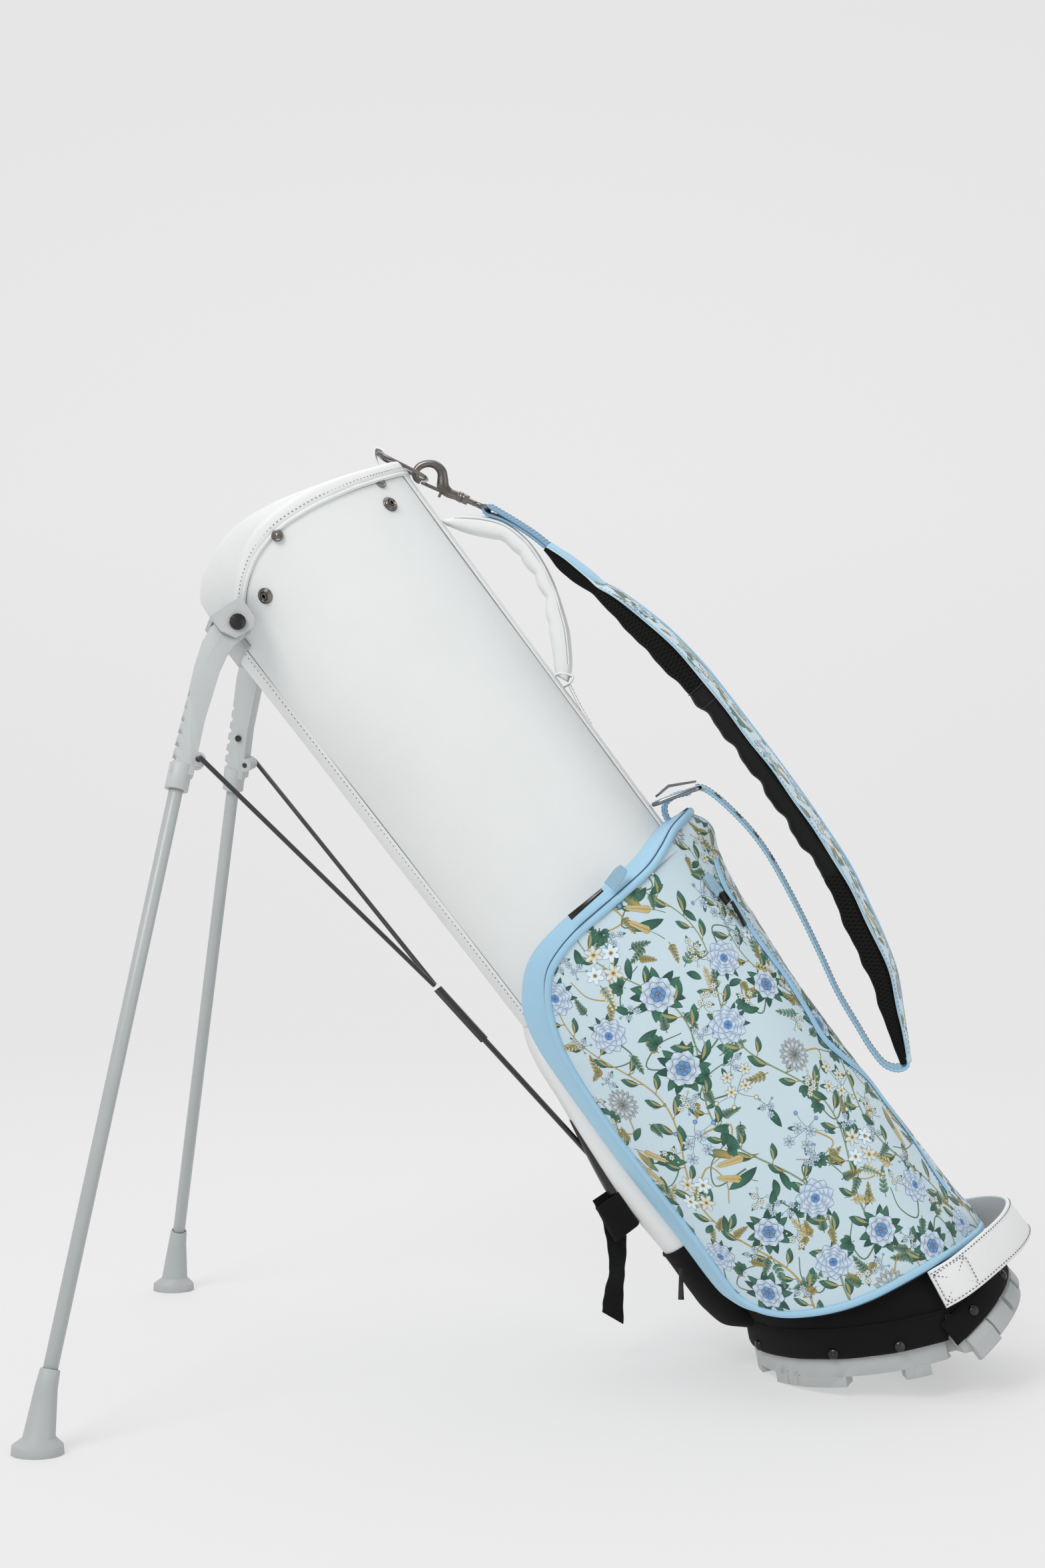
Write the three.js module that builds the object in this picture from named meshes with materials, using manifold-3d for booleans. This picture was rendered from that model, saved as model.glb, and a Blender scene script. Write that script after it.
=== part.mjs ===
// A golf stand bag at rest on its two opened legs, in millimetres, +Z up.
// Origin: on the floor, straight below the foot of the bag's axis. +X points to the base, -X to the feet,
// and the plane y = 0 is the bag's plane of symmetry. The near leg is on -Y.
// The bag itself is built upright in its own group (+Z along the bag, +X towards the spine) and then leaned back.
import * as THREE from "three";
import { mergeVertices } from "three/addons/utils/BufferGeometryUtils.js";
import Module from "manifold-3d";

const wasm = await Module();
wasm.setup();

// ---- driving dimensions ----
const LEAN = 37.07; // degrees the bag leans back from upright
const BAG_FOOT = [308.65, 0, 21.6]; // where the bag's own origin stands
const TUBE_R0 = 96.4; // outer radius of the tube at the foot
const TUBE_TAPER = 0.0139; // radius gained per mm of height
const TUBE_WALL = 2.2;
const TUBE_TOP = 850;
const TUBE_BOTTOM = 14;
const GAP = 0.4; // clearance between neighbouring pieces
const BASE_R = 108.3; // outer radius of the moulded base
const HINGE = [35, 0, 20]; // base hinge, in the bag's frame
const PLATE_TILT = 27.27; // degrees the front plate is turned when the bag leans
const PLATE_SHIFT = -13.1; // centre of the front plate's circle, closed
const PIVOT = [-85.5, -100, 854]; // near leg pivot, in the bag's frame
const PIVOT_AXIS = new THREE.Vector3(0.341, -0.94, 0).normalize();
const ARM_THICK = 15;
const LEG_TUBE_R = 6;
const ROD_R = 2.2;
const ROD_SIDE = 3.2; // each rod's distance from the plane of symmetry below the sleeve

// ---- colours and finishes ----
const paint = (color, roughness, metalness = 0) =>
  new THREE.MeshStandardMaterial({ color, roughness, metalness });
const WHITE_LEATHER = paint(0xf1f3f2, 0.55);
const BLUE_TRIM = paint(0xa9cde8, 0.5);
const FLORAL_CLOTH = paint(0xcfe2ec, 0.5);
const BLACK_CLOTH = paint(0x141414, 0.9);
const GREY_PLASTIC = paint(0xc9cdcf, 0.5);
const BLACK_STEEL = paint(0x2a2a2b, 0.4, 0.8);
const GUNMETAL = paint(0x6e6a66, 0.35, 1);
const CHROME = paint(0xbfc0c2, 0.15, 1);
const SPRING_STEEL = paint(0x8d9094, 0.4, 1);

// ---- geometry helpers ----
const radians = THREE.MathUtils.degToRad;
const at = (x, y, z) => new THREE.Vector3(x, y, z);
const tubeRadius = (z) => TUBE_R0 + TUBE_TAPER * z;

// A point on a circle round the bag's axis; the angle is counted from the spine towards the near side.
const polar = (r, degrees, z) => at(r * Math.cos(radians(degrees)), -r * Math.sin(radians(degrees)), z);

// A smooth function through a few (input, output) knots, the inputs rising.
function smooth(knots) {
  const slope = knots.map((k, i) => {
    const a = knots[Math.max(i - 1, 0)];
    const b = knots[Math.min(i + 1, knots.length - 1)];
    return (b[1] - a[1]) / (b[0] - a[0]);
  });
  return (x) => {
    if (x <= knots[0][0]) return knots[0][1];
    if (x >= knots.at(-1)[0]) return knots.at(-1)[1];
    const i = knots.findIndex((k) => k[0] > x) - 1;
    const [x0, y0] = knots[i];
    const [x1, y1] = knots[i + 1];
    const h = x1 - x0;
    const t = (x - x0) / h;
    const bend = t * (1 - t) * h * (slope[i] * (1 - t) - slope[i + 1] * t);
    return y0 + (y1 - y0) * t * t * (3 - 2 * t) + bend;
  };
}

// Turns a closed surface inside out where its faces point inwards.
function outward(geometry) {
  const p = geometry.attributes.position;
  const index = geometry.index.array;
  const [a, b, c] = [at(), at(), at()];
  let volume = 0;
  for (let i = 0; i < index.length; i += 3) {
    a.fromBufferAttribute(p, index[i]);
    b.fromBufferAttribute(p, index[i + 1]);
    c.fromBufferAttribute(p, index[i + 2]);
    volume += a.dot(b.cross(c));
  }
  if (volume < 0) {
    for (let i = 0; i < index.length; i += 3) [index[i], index[i + 1]] = [index[i + 1], index[i]];
  }
  return geometry;
}

// Triangles that close a flat loop of points, all wound the way the loop is.
function fillLoop(loop) {
  const normal = at(0, 0, 0);
  loop.forEach((p, i) => normal.add(at().crossVectors(p, loop[(i + 1) % loop.length])));
  normal.normalize();
  const along = loop[1].clone().sub(loop[0]).cross(normal).normalize();
  const across = at().crossVectors(normal, along);
  const flat = loop.map((p) => new THREE.Vector2(p.dot(along), p.dot(across)));
  return THREE.ShapeUtils.triangulateShape(flat, []).map(([i, j, k]) => {
    const turn = flat[j].clone().sub(flat[i]).cross(flat[k].clone().sub(flat[i]));
    return turn > 0 ? [i, j, k] : [i, k, j];
  });
}

// A closed skin over a row of equal loops; a ring-shaped row closes on itself.
function loft(loops, isRing = false) {
  const count = loops[0].length;
  const index = [];
  const spans = isRing ? loops.length : loops.length - 1;
  for (let i = 0; i < spans; i++) {
    const a = i * count;
    const b = ((i + 1) % loops.length) * count;
    for (let j = 0; j < count; j++) {
      const k = (j + 1) % count;
      index.push(a + j, a + k, b + j, a + k, b + k, b + j);
    }
  }
  if (!isRing) {
    const end = (loops.length - 1) * count;
    for (const [i, j, k] of fillLoop(loops[0])) index.push(i, k, j);
    for (const [i, j, k] of fillLoop(loops.at(-1))) index.push(end + i, end + j, end + k);
  }
  const geometry = new THREE.BufferGeometry();
  const points = loops.flat().flatMap((p) => p.toArray());
  geometry.setAttribute("position", new THREE.Float32BufferAttribute(points, 3));
  geometry.setIndex(index);
  return outward(geometry);
}

const curveThrough = (points, isRing = false) => new THREE.CatmullRomCurve3(points, isRing, "centripetal");

// A round bar along a curve.
function bar(curve, radius, steps, sides = 8, isRing = false) {
  const frames = curve.computeFrenetFrames(steps, isRing);
  const loops = [];
  for (let i = 0; i < (isRing ? steps : steps + 1); i++) {
    const centre = curve.getPoint(i / steps);
    const loop = [];
    for (let j = 0; j < sides; j++) {
      const turn = (2 * Math.PI * j) / sides;
      const side = frames.normals[i].clone().multiplyScalar(radius * Math.cos(turn));
      loop.push(side.addScaledVector(frames.binormals[i], radius * Math.sin(turn)).add(centre));
    }
    loops.push(loop);
  }
  return loft(loops, isRing);
}

const straightBar = (from, to, radius, sides = 10) => bar(new THREE.LineCurve3(from, to), radius, 1, sides);

// A flat strip along a curve in the plane y = 0: its width lies along y, tipped by `tip` degrees about the curve.
function strip(points, width, thickness, steps, tip = 0) {
  const curve = curveThrough(points.map(([x, z]) => at(x, 0, z)));
  const loops = [];
  for (let i = 0; i <= steps; i++) {
    const centre = curve.getPoint(i / steps);
    const tangent = curve.getTangent(i / steps);
    const across = at(0, 1, 0).applyAxisAngle(tangent, radians(tip));
    const out = at().crossVectors(tangent, across);
    const corner = (u, v) => centre.clone().addScaledVector(across,
      (u * width) / 2).addScaledVector(out, (v * thickness) / 2);
    loops.push([corner(-1, -1), corner(1, -1), corner(1, 1), corner(-1, 1)]);
  }
  return loft(loops);
}

// A plate cut from an outline in the plane y = 0, centred on y = 0.
function sidePlate(outline, thickness) {
  const half = thickness / 2;
  return loft([-half, half].map((y) => outline.map(([x, z]) => at(x, y, z))));
}

// A block whose section in the (radius, height) plane is given, turned round the bag's axis between two angles.
function sector(section, from, to, steps, centreX = 0) {
  const loops = [];
  for (let i = 0; i <= steps; i++) {
    const angle = from + ((to - from) * i) / steps;
    loops.push(section.map(([r, z]) => polar(r, angle, z).add(at(centreX, 0, 0))));
  }
  return loft(loops);
}

const rectangle = (x0, x1, z0, z1) => [[x0, z0], [x1, z0], [x1, z1], [x0, z1]];

function ringOf(section, steps, centreX = 0) {
  const loops = [];
  for (let i = 0; i < steps; i++) {
    loops.push(section.map(([r, z]) => polar(r, (360 * i) / steps, z).add(at(centreX, 0, 0))));
  }
  return loft(loops, true);
}

function block(x0, x1, y0, y1, z0, z1) {
  return loft([y0, y1].map((y) => rectangle(x0, x1, z0, z1).map(([x, z]) => at(x, y, z))));
}

function toSolid(geometry) {
  const bare = new THREE.BufferGeometry().setAttribute("position", geometry.attributes.position);
  bare.setIndex(geometry.index);
  const merged = mergeVertices(bare, 1e-4);
  const vertProperties = new Float32Array(merged.attributes.position.array);
  const triVerts = new Uint32Array(merged.index.array);
  return new wasm.Manifold(new wasm.Mesh({ numProp: 3, vertProperties, triVerts }));
}

function toGeometry(solid) {
  const mesh = solid.getMesh();
  const geometry = new THREE.BufferGeometry();
  geometry.setAttribute("position", new THREE.BufferAttribute(mesh.vertProperties, 3));
  geometry.setIndex(new THREE.BufferAttribute(mesh.triVerts, 1));
  return geometry;
}

const combine = (how) => (first, ...rest) =>
  toGeometry(rest.map(toSolid).reduce((sum, next) => sum[how](next), toSolid(first)));
const join = combine("add");
const cut = combine("subtract");

function place(parent, name, geometry, material) {
  const flat = geometry.toNonIndexed();
  flat.computeVertexNormals();
  const mesh = new THREE.Mesh(flat, material);
  mesh.name = name;
  parent.add(mesh);
}

// ---- groups ----
const standBag = new THREE.Group();
const bag = new THREE.Group();
bag.position.set(...BAG_FOOT);
bag.rotation.y = -radians(LEAN);
standBag.add(bag);
const frontPlate = new THREE.Group(); // drawn closed, turned about the base hinge
frontPlate.position.set(...HINGE);
frontPlate.rotation.y = radians(PLATE_TILT);
bag.add(frontPlate);

// ---- tube, collar and mouth ----
const rimTop = smooth([[0, 896], [45, 900], [85, 908], [113, 900], [134, 879], [142, 868]]);
const collarTop = smooth([[0, 897], [45, 901], [85, 912], [108, 919], [130, 908], [155, 903], [180, 901]]);

// Everything of the tube below the slanted hem of the front plate is left open for the plate to swing in.
const plateClearance = () =>
  sidePlate([[34, TUBE_BOTTOM - 40], [34, 42], [-97, 109], [-140, 131], [-140, TUBE_BOTTOM - 40]], 300);

function bagTube() {
  const section = [
    [tubeRadius(TUBE_BOTTOM), TUBE_BOTTOM],
    [tubeRadius(TUBE_TOP), TUBE_TOP],
    [tubeRadius(TUBE_TOP) - TUBE_WALL, TUBE_TOP],
    [tubeRadius(TUBE_BOTTOM) - TUBE_WALL, TUBE_BOTTOM],
  ];
  return cut(ringOf(section, 40), plateClearance());
}

function topCollar() {
  const steps = 40;
  const lowest = 836;
  const loops = [];
  for (let i = 0; i < steps; i++) {
    const angle = (360 * i) / steps;
    const side = Math.min(angle, 360 - angle);
    const top = collarTop(side);
    const shoulder = Math.min(Math.max(rimTop(side) + 1, 884), top - 6);
    const lip = 105.2 + 2.2 * THREE.MathUtils.smoothstep(side, 85, 115);
    const section = [[97, lowest], [105.2, lowest], [105.2, shoulder], [lip, shoulder + 2],
      [lip, top - 4], [103, top], [99, top], [97, top - 3]];
    loops.push(section.map(([r, z]) => polar(r, angle, z)));
  }
  return loft(loops, true);
}

function rimBand() {
  const inner = tubeRadius(TUBE_TOP) - TUBE_WALL;
  const outer = tubeRadius(TUBE_TOP) + 1.7;
  const steps = 32;
  const loops = [];
  for (let i = 0; i <= steps; i++) {
    const angle = -140 + (280 * i) / steps;
    const top = rimTop(Math.abs(angle));
    const section = [[inner, TUBE_TOP + GAP], [outer, TUBE_TOP + GAP], [outer, top - 2],
      [outer - 1.5, top], [inner, top]];
    loops.push(section.map(([r, z]) => polar(r, angle, z)));
  }
  return loft(loops);
}

// Two bars that part the mouth into three: one across, one from it to the belly side.
function clubDivider() {
  const reach = 96.5;
  const half = 4;
  const crossX = 28;
  const acrossY = Math.sqrt(reach ** 2 - (crossX + half) ** 2);
  const across = block(crossX - half, crossX + half, -acrossY, acrossY, 858, 884);
  const along = block(-Math.sqrt(reach ** 2 - half ** 2), crossX, -half, half, 858, 884);
  return join(across, along);
}

const SPINE_STAY_INSET = TUBE_WALL + 3.2;
const spineStay = () =>
  straightBar(at(tubeRadius(30) - SPINE_STAY_INSET, 0, 30),
    at(tubeRadius(832) - SPINE_STAY_INSET, 0, 832), 2.5, 8);

// ---- belly: rod channel, its slot and the black cover under it ----
const CHANNEL_HALF = 30;
const channelBulge = smooth([[110, 12], [135, 24], [190, 25.5], [254, 28], [310, 23.5], [360, 17],
  [398, 13], [428, 4]]);

// An arch over the belly between two offsets from the channel's outer face.
function archLoop(z, halfWidth, outer, inner) {
  const steps = 10;
  const edge = (offset, reverse) => {
    const points = [];
    for (let i = 0; i <= steps; i++) {
      const y = halfWidth * (1 - (2 * i) / steps);
      const rise = channelBulge(z) * Math.sqrt(Math.max(1 - (y / (CHANNEL_HALF + 0.5)) ** 2, 0)) + offset;
      const floor = Math.sqrt(tubeRadius(z) ** 2 - y ** 2) + 0.6;
      points.push(at(-floor - Math.max(rise, offset === inner ? 0 : 2), y, z));
    }
    return reverse ? points.reverse() : points;
  };
  return [...edge(outer, false), ...edge(inner, true)];
}

const CHANNEL_WALL = 2.5;
const SLOT = { low: 268, high: 330, half: 9 };
const rodSlot = () => block(-150, -110, -SLOT.half, SLOT.half, SLOT.low, SLOT.high);

function archShell(heights, outer = 0, inner = -CHANNEL_WALL, halfWidth = CHANNEL_HALF) {
  return loft(heights.map((z) => archLoop(z, halfWidth, outer, inner)));
}

const bellyChannel = () => cut(archShell([193, 222, 254, 282, 310, 335, 360, 398, 428]), rodSlot());
const lowerCover = () => archShell([118, 135, 160, 191]);
const rodLip = () => cut(archShell([264, 282, 300, 318, 336], 2.6, GAP, 13), rodSlot());

// ---- main pocket ----
// Outer radius of the cloth sleeve over the base: wide at its hem, close to the tube at its top.
const SLEEVE_LOW = 4.4;
const SLEEVE_HIGH = 110;
const POCKET_SKIN = 3.2;
const sleeveRadius = (z) => 110.4 - ((z - SLEEVE_LOW) / (SLEEVE_HIGH - SLEEVE_LOW)) * 6.8;

const pocketEdge = smooth([
  [40, 8], [66, 58], [82, 91], [98, 121], [115, 144], [132, 156], [160, 161],
  [340, 161], [374, 157], [407, 147], [429, 137], [447, 126], [465, 112], [475, 96], [486, 77], [490, 45],
]);
const pocketPuff = smooth([[40, 12], [80, 19], [200, 20], [380, 19], [440, 20], [475, 20], [490, 12]]);

// Distance from the tube's wall to the pocket's face; it comes down to the wall over the last stretch to its edge.
function pocketRise(angle, z) {
  const edge = pocketEdge(z);
  const inset = ((edge - Math.abs(angle)) / 180) * Math.PI * tubeRadius(z);
  const round = Math.sqrt(Math.min(Math.max(inset, 0) / 14, 1));
  const peak = 14 * Math.exp(-(((z - 474) / 16) ** 2) - (angle / 22) ** 2);
  return 3 + (pocketPuff(z) - 3) * round + peak;
}

// Radius of the pocket's face, which also stands clear of the sleeve at its foot.
function pocketFace(angle, z) {
  const clear = z < 119 ? sleeveRadius(z) + 4 : 0;
  return Math.max(tubeRadius(z) + 0.6 + pocketRise(angle, z), clear);
}

// The space under the pocket's face, drawn in by `skin` mm and by `margin` degrees at its side edges.
function underPocket(heights, skin, margin) {
  const steps = 18;
  const loops = heights.map((z) => {
    const edge = pocketEdge(z) - margin;
    const outside = [];
    const inside = [];
    for (let i = 0; i <= steps; i++) {
      const angle = edge * (1 - (2 * i) / steps);
      outside.push(polar(pocketFace(angle, z) - skin, angle, z));
      inside.unshift(polar(88, angle, z));
    }
    return [...outside, ...inside];
  });
  return loft(loops);
}

// A cloth shell, open towards the tube it is sewn to.
function mainPocket() {
  const heights = [44, 56, 68, 82, 98, 118, 130, 200, 280, 340, 374, 407, 429, 447, 462, 474, 484, 489];
  const hollow = [50, 68, 82, 98, 118, 130, 200, 280, 340, 374, 407, 429, 447, 462, 474, 482];
  const seat = [
    [60, 30],
    [sleeveRadius(30) + 1, 30],
    [sleeveRadius(116) + 1, 116],
    [tubeRadius(118) + 1, 118],
    [tubeRadius(510) + 1, 510],
    [60, 510],
  ];
  return cut(underPocket(heights, 0, 0), underPocket(hollow, POCKET_SKIN, 4), ringOf(seat, 40));
}

// ---- base ----
function baseRear() {
  const under = (z) => [[93, z], [BASE_R, z]];
  const [lowIn, lowOut] = under(-17);
  const wall = sector([lowIn, lowOut, [BASE_R, 3.6], [106.4, 3.6], [106.4, 12.5], [93, 12.5]], -70, 70, 20);
  const floor = sector([[20, -17], [94, -17], [94, -11], [20, -11]], -60, 60, 12);
  const tongue = (s) => sector([[91, -4], [94.8, -4], [94.8, 12.5], [91, 12.5]], s * 65, s * 76, 3);
  const ear = (s) => block(28, 50, s > 0 ? 70 : -77, s > 0 ? 77 : -70, -11.5, 28);
  const bore = straightBar(at(HINGE[0], -90, HINGE[2]), at(HINGE[0], 90, HINGE[2]), 3.6, 12);
  const slant = sidePlate([[10, -30], [66, -30], [58, -17], [26, 0], [26, -8], [10, -8]], 240);
  const whole = join(wall, floor, tongue(1), tongue(-1), ear(1), ear(-1));
  return cut(whole, bore, slant);
}

const baseHingePin = () => straightBar(at(HINGE[0], -79, HINGE[2]), at(HINGE[0], 79, HINGE[2]), 3, 12);

// The front plate is written in the closed bag's frame and moved so that the hinge is its origin.
const fromHinge = (geometry) => geometry.translate(...HINGE.map((v) => -v));

const PADS = [[112, 152], [73, 85]]; // angles of the ground pads on each side
const PAD_FOOT = -14.6; // height of their undersides in the closed bag
const TOE_FOOT = -12.4;
function baseFront() {
  const cx = PLATE_SHIFT;
  const rear = 64; // angle where the wall ends on each side
  const wall = sector([[103.9, -5.6], [BASE_R, -5.6], [BASE_R, 10.2], [107, 10.2], [107, 26],
    [103.9, 26]], rear, 360 - rear, 28, cx);
  const floor = cut(
    sector([[0.5, -5.6], [104.2, -5.6], [104.2, -0.6], [0.5, -0.6]], rear, 360 - rear, 28, cx),
    block(20, 60, -120, 120, -20, 20),
  );
  const pad = (a, b, foot) => sector([[90, foot], [BASE_R, foot], [BASE_R, -5], [90, -5]], a, b, 4, cx);
  const pads = PADS.flatMap(([a, b]) => [pad(a, b, PAD_FOOT), pad(360 - b, 360 - a, PAD_FOOT)]);
  const ear = (s) => block(4, 43, s > 0 ? 61 : -68, s > 0 ? 68 : -61, -2, 28);
  const bore = straightBar(at(HINGE[0], -90, HINGE[2]), at(HINGE[0], 90, HINGE[2]), 3.6, 12);
  const heel = sidePlate([[21, -6], [50, -6], [50, 8], [30, 8]], 160);
  const grooves = [-1, 1].flatMap((s) =>
    [137, 143].map((angle) => straightBar(polar(BASE_R + 0.6, s * angle, -20).add(at(cx, 0, 0)),
      polar(BASE_R + 0.6, s * angle, -2).add(at(cx, 0, 0)), 1.8, 6)),
  );
  const body = cut(join(wall, floor, ...pads, pad(168, 192, TOE_FOOT), ear(1), ear(-1)), bore, heel,
    ...grooves);
  return fromHinge(body);
}

// The sleeve's hem, sewn and riveted round the front plate.
const sleeveHem = () => fromHinge(sector(rectangle(108.7, 110.3, 10.6, 35), 74, 286, 32, PLATE_SHIFT));

function baseSleeve() {
  const [low, high] = [SLEEVE_LOW, SLEEVE_HIGH].map((z) => [sleeveRadius(z), z]);
  const section = [[low[0] - 1.6, low[1]], low, high, [high[0] - 1.6, high[1]]];
  const open = sidePlate([[24, -20], [24, 4], [31, 44], [-97, 109.5], [-97, 140], [-160, 140],
    [-160, -20]], 300);
  const rodWay = block(-125, -90, -12, 12, 90, 130);
  return cut(ringOf(section, 40), open, rodWay);
}

// A white strap, sewn flat at both ends and standing off behind the base.
function liftLoop() {
  const path = curveThrough([at(52, -101.5, 50), at(88, -76, 44), at(125, -38, 37), at(136, 0, 34),
    at(125, 38, 37), at(88, 76, 44), at(52, 101.5, 50)]);
  const loops = [];
  const steps = 18;
  for (let i = 0; i <= steps; i++) {
    const p = path.getPoint(i / steps);
    const out = at(p.x, p.y, 0).normalize();
    const low = p.clone().add(at(0, 0, -18));
    const high = p.clone().add(at(0, 0, 18));
    loops.push([low, low.clone().addScaledVector(out, 2.4), high.clone().addScaledVector(out, 2.4), high]);
  }
  return loft(loops).translate(14, 0, 0);
}

// ---- legs ----
// A leg lies in its swing plane: `out` runs outwards from the pivot, z runs up.
const LEG_OUT = at(-PIVOT_AXIS.y, PIVOT_AXIS.x, 0).negate();
const inSwing = (out, z, side = 0) =>
  at(...PIVOT).addScaledVector(LEG_OUT, out).addScaledVector(PIVOT_AXIS, side).add(at(0, 0, z));
const TUBE_DIR = [0.747, -0.665]; // along the leg tube, in (out, z)
// A point on the tube's axis, d past the socket.
const LEG_LINE = (d) => [118 + TUBE_DIR[0] * d, -78.5 + TUBE_DIR[1] * d];
const FOOT_D = 521; // from the socket to the floor along the tube
const ROD_BOSS = [96.4, -75.5]; // centre of the boss that holds the actuator rod, in (out, z)

function legArm() {
  const outer = [[-6, 9], [8, 12], [20, 10], [33, 4], [48, -7], [65, -22], [85, -38.5], [104, -54.5],
    [121, -70.5]];
  const inner = [[108, -84.5], [91, -69], [72, -52], [52, -37], [36, -25], [20, -16], [6, -12], [-8, -8]];
  const half = ARM_THICK / 2;
  const plate = loft([-half, half].map((s) => [...outer, ...inner].map(([o, z]) => inSwing(o, z, s))));
  const pivotHole = straightBar(inSwing(0, 0, -20), inSwing(0, 0, 20), 5.4, 14);
  const along = (d, r, len, sides) => straightBar(inSwing(...LEG_LINE(d)),
    inSwing(...LEG_LINE(d + len)), r, sides);
  const socket = along(-12, 10, 22, 16);
  const tubeHole = along(-4, LEG_TUBE_R + 0.4, 30, 12);
  const [bossOut, bossZ] = ROD_BOSS;
  const boss = straightBar(inSwing(bossOut, bossZ, -half), inSwing(bossOut, bossZ, half), 6.5, 12);
  const pinHole = straightBar(inSwing(bossOut, bossZ, -20), inSwing(bossOut, bossZ, 20), ROD_R + 0.3, 8);
  const groove = (i) => {
    const [o, z] = [70.5 + 8.3 * i, -25.5 - 7.4 * i];
    return straightBar(inSwing(o, z, -12), inSwing(o, z, 12), 2.6, 6);
  };
  const grooves = [0, 1, 2, 3, 4, 5].map(groove);
  return cut(join(plate, socket, boss), pivotHole, tubeHole, pinHole, ...grooves);
}

const legTube = () => straightBar(inSwing(...LEG_LINE(-3)), inSwing(...LEG_LINE(FOOT_D - 24)),
  LEG_TUBE_R, 12);

// The foot is drawn in the floor's frame: a collar round the tube, flaring to an oval sole that lies on the floor.
function legFoot() {
  const toFloor = (p) => p.applyEuler(new THREE.Euler(0, -radians(LEAN), 0)).add(at(...BAG_FOOT));
  const ankle = toFloor(inSwing(...LEG_LINE(FOOT_D - 40)));
  const ground = toFloor(inSwing(...LEG_LINE(FOOT_D)));
  const axis = ground.clone().sub(ankle).normalize();
  const side = at(0, 1, 0).cross(axis).normalize();
  const front = at().crossVectors(axis, side);
  const round = (centre, r) => {
    const loop = [];
    for (let i = 0; i < 16; i++) {
      const a = (2 * Math.PI * i) / 16;
      loop.push(centre.clone().addScaledVector(side, -r * Math.cos(a)).addScaledVector(front,
        -r * Math.sin(a)));
    }
    return loop;
  };
  const oval = (shift, z, half, width) => {
    const loop = [];
    for (let i = 0; i < 16; i++) {
      const a = (2 * Math.PI * i) / 16;
      loop.push(at(ground.x + shift + half * Math.cos(a), ground.y - width * Math.sin(a), z));
    }
    return loop;
  };
  const loops = [round(ankle, 8), round(ankle.clone().addScaledVector(axis, 14), 9), oval(0, 13, 13, 11),
    oval(-1, 7, 20.5, 15), oval(-1, 0.2, 21, 15.5)];
  const hole = straightBar(ankle.clone().addScaledVector(axis, -5),
    ankle.clone().addScaledVector(axis, 26), LEG_TUBE_R + 0.4, 12);
  return cut(loft(loops), hole);
}

const pivotBolt = () =>
  join(straightBar(inSwing(0, 0, -13.5), inSwing(0, 0, 12.5), 5, 12),
    straightBar(inSwing(0, 0, 12.2), inSwing(0, 0, 15.5), 7, 12));

const armScrew = () => straightBar(inSwing(84, -52, -ARM_THICK / 2 - 2.2), inSwing(84, -52,
  -ARM_THICK / 2 - 0.3), 3.2, 8);
const rodPin = () => straightBar(inSwing(...ROD_BOSS, -ARM_THICK / 2 - 0.8), inSwing(...ROD_BOSS,
  ARM_THICK / 2 + 1.9), ROD_R, 8);

// The moulding on the belly that carries both legs: a saddle, a flange and a fork for each arm.
function legBracket() {
  const saddle = sector(rectangle(108.8, 114, 838, 868), 145, 215, 12);
  const flange = sector(rectangle(111.4, 124, 866, 871), 133, 227, 16);
  const fork = (sideSign) => {
    const cheek = (near, far) => {
      const outline = [[-16, 17], [16, 17], [16, 2], [9, -10], [-9, -11], [-15, -4]];
      const loops = [near, far].map((s) => outline.map(([o, z]) => inSwing(o, z, s)));
      return loft(loops);
    };
    const roof = loft([-30, 12].map((s) => rectangle(-14, 16, 13.2, 17).map(([o, z]) => inSwing(o, z, s))));
    const bolt = straightBar(inSwing(0, 0, -30), inSwing(0, 0, 30), 5.5, 14);
    const whole = cut(join(cheek(8.1, 12), cheek(-12, -8.1), roof), bolt);
    return sideSign < 0 ? outward(whole.scale(1, -1, 1)) : whole;
  };
  const tubeWay = ringOf([[60, 820], [108.7, 820], [108.7, 862], [111.2, 862], [111.2, 900], [60, 900]],
    40);
  return cut(join(saddle, flange, fork(1), fork(-1)), tubeWay);
}

// ---- actuator rods ----
const SLEEVE_TOP = at(-145, 0, 502);
const SLIDE_DIR = at(0.0956, 0, -0.9954).normalize();
const ROD_STANDOFF = 8.5; // from the arm's outer face to the rod's axis
const rodTip = () => inSwing(...ROD_BOSS, ARM_THICK / 2 + ROD_STANDOFF);
const alongSlide = (d, y) => SLEEVE_TOP.clone().addScaledVector(SLIDE_DIR, d).setY(y);
const lowerRod = (side) => straightBar(alongSlide(3, side * ROD_SIDE), alongSlide(396, side * ROD_SIDE),
  ROD_R, 8);
const upperRod = () => {
  const tip = rodTip();
  const start = alongSlide(-4, -ROD_SIDE);
  return straightBar(start, tip, ROD_R, 8);
};

function rodSleeve() {
  const outer = loft([0, 62].map((d) => [[-5.8, 0], [-3, -3.6], [3, -3.6], [5.8, 0], [3, 3.6], [-3,
    3.6]].map(([y, n]) => alongSlide(d, y).add(at(n, 0, 0)))));
  const bores = [-1, 1].map((s) => straightBar(alongSlide(2, s * ROD_SIDE), alongSlide(70,
    s * ROD_SIDE), ROD_R + 0.2, 8));
  return cut(outer.scale(1, 1.15, 1), ...bores);
}

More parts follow.
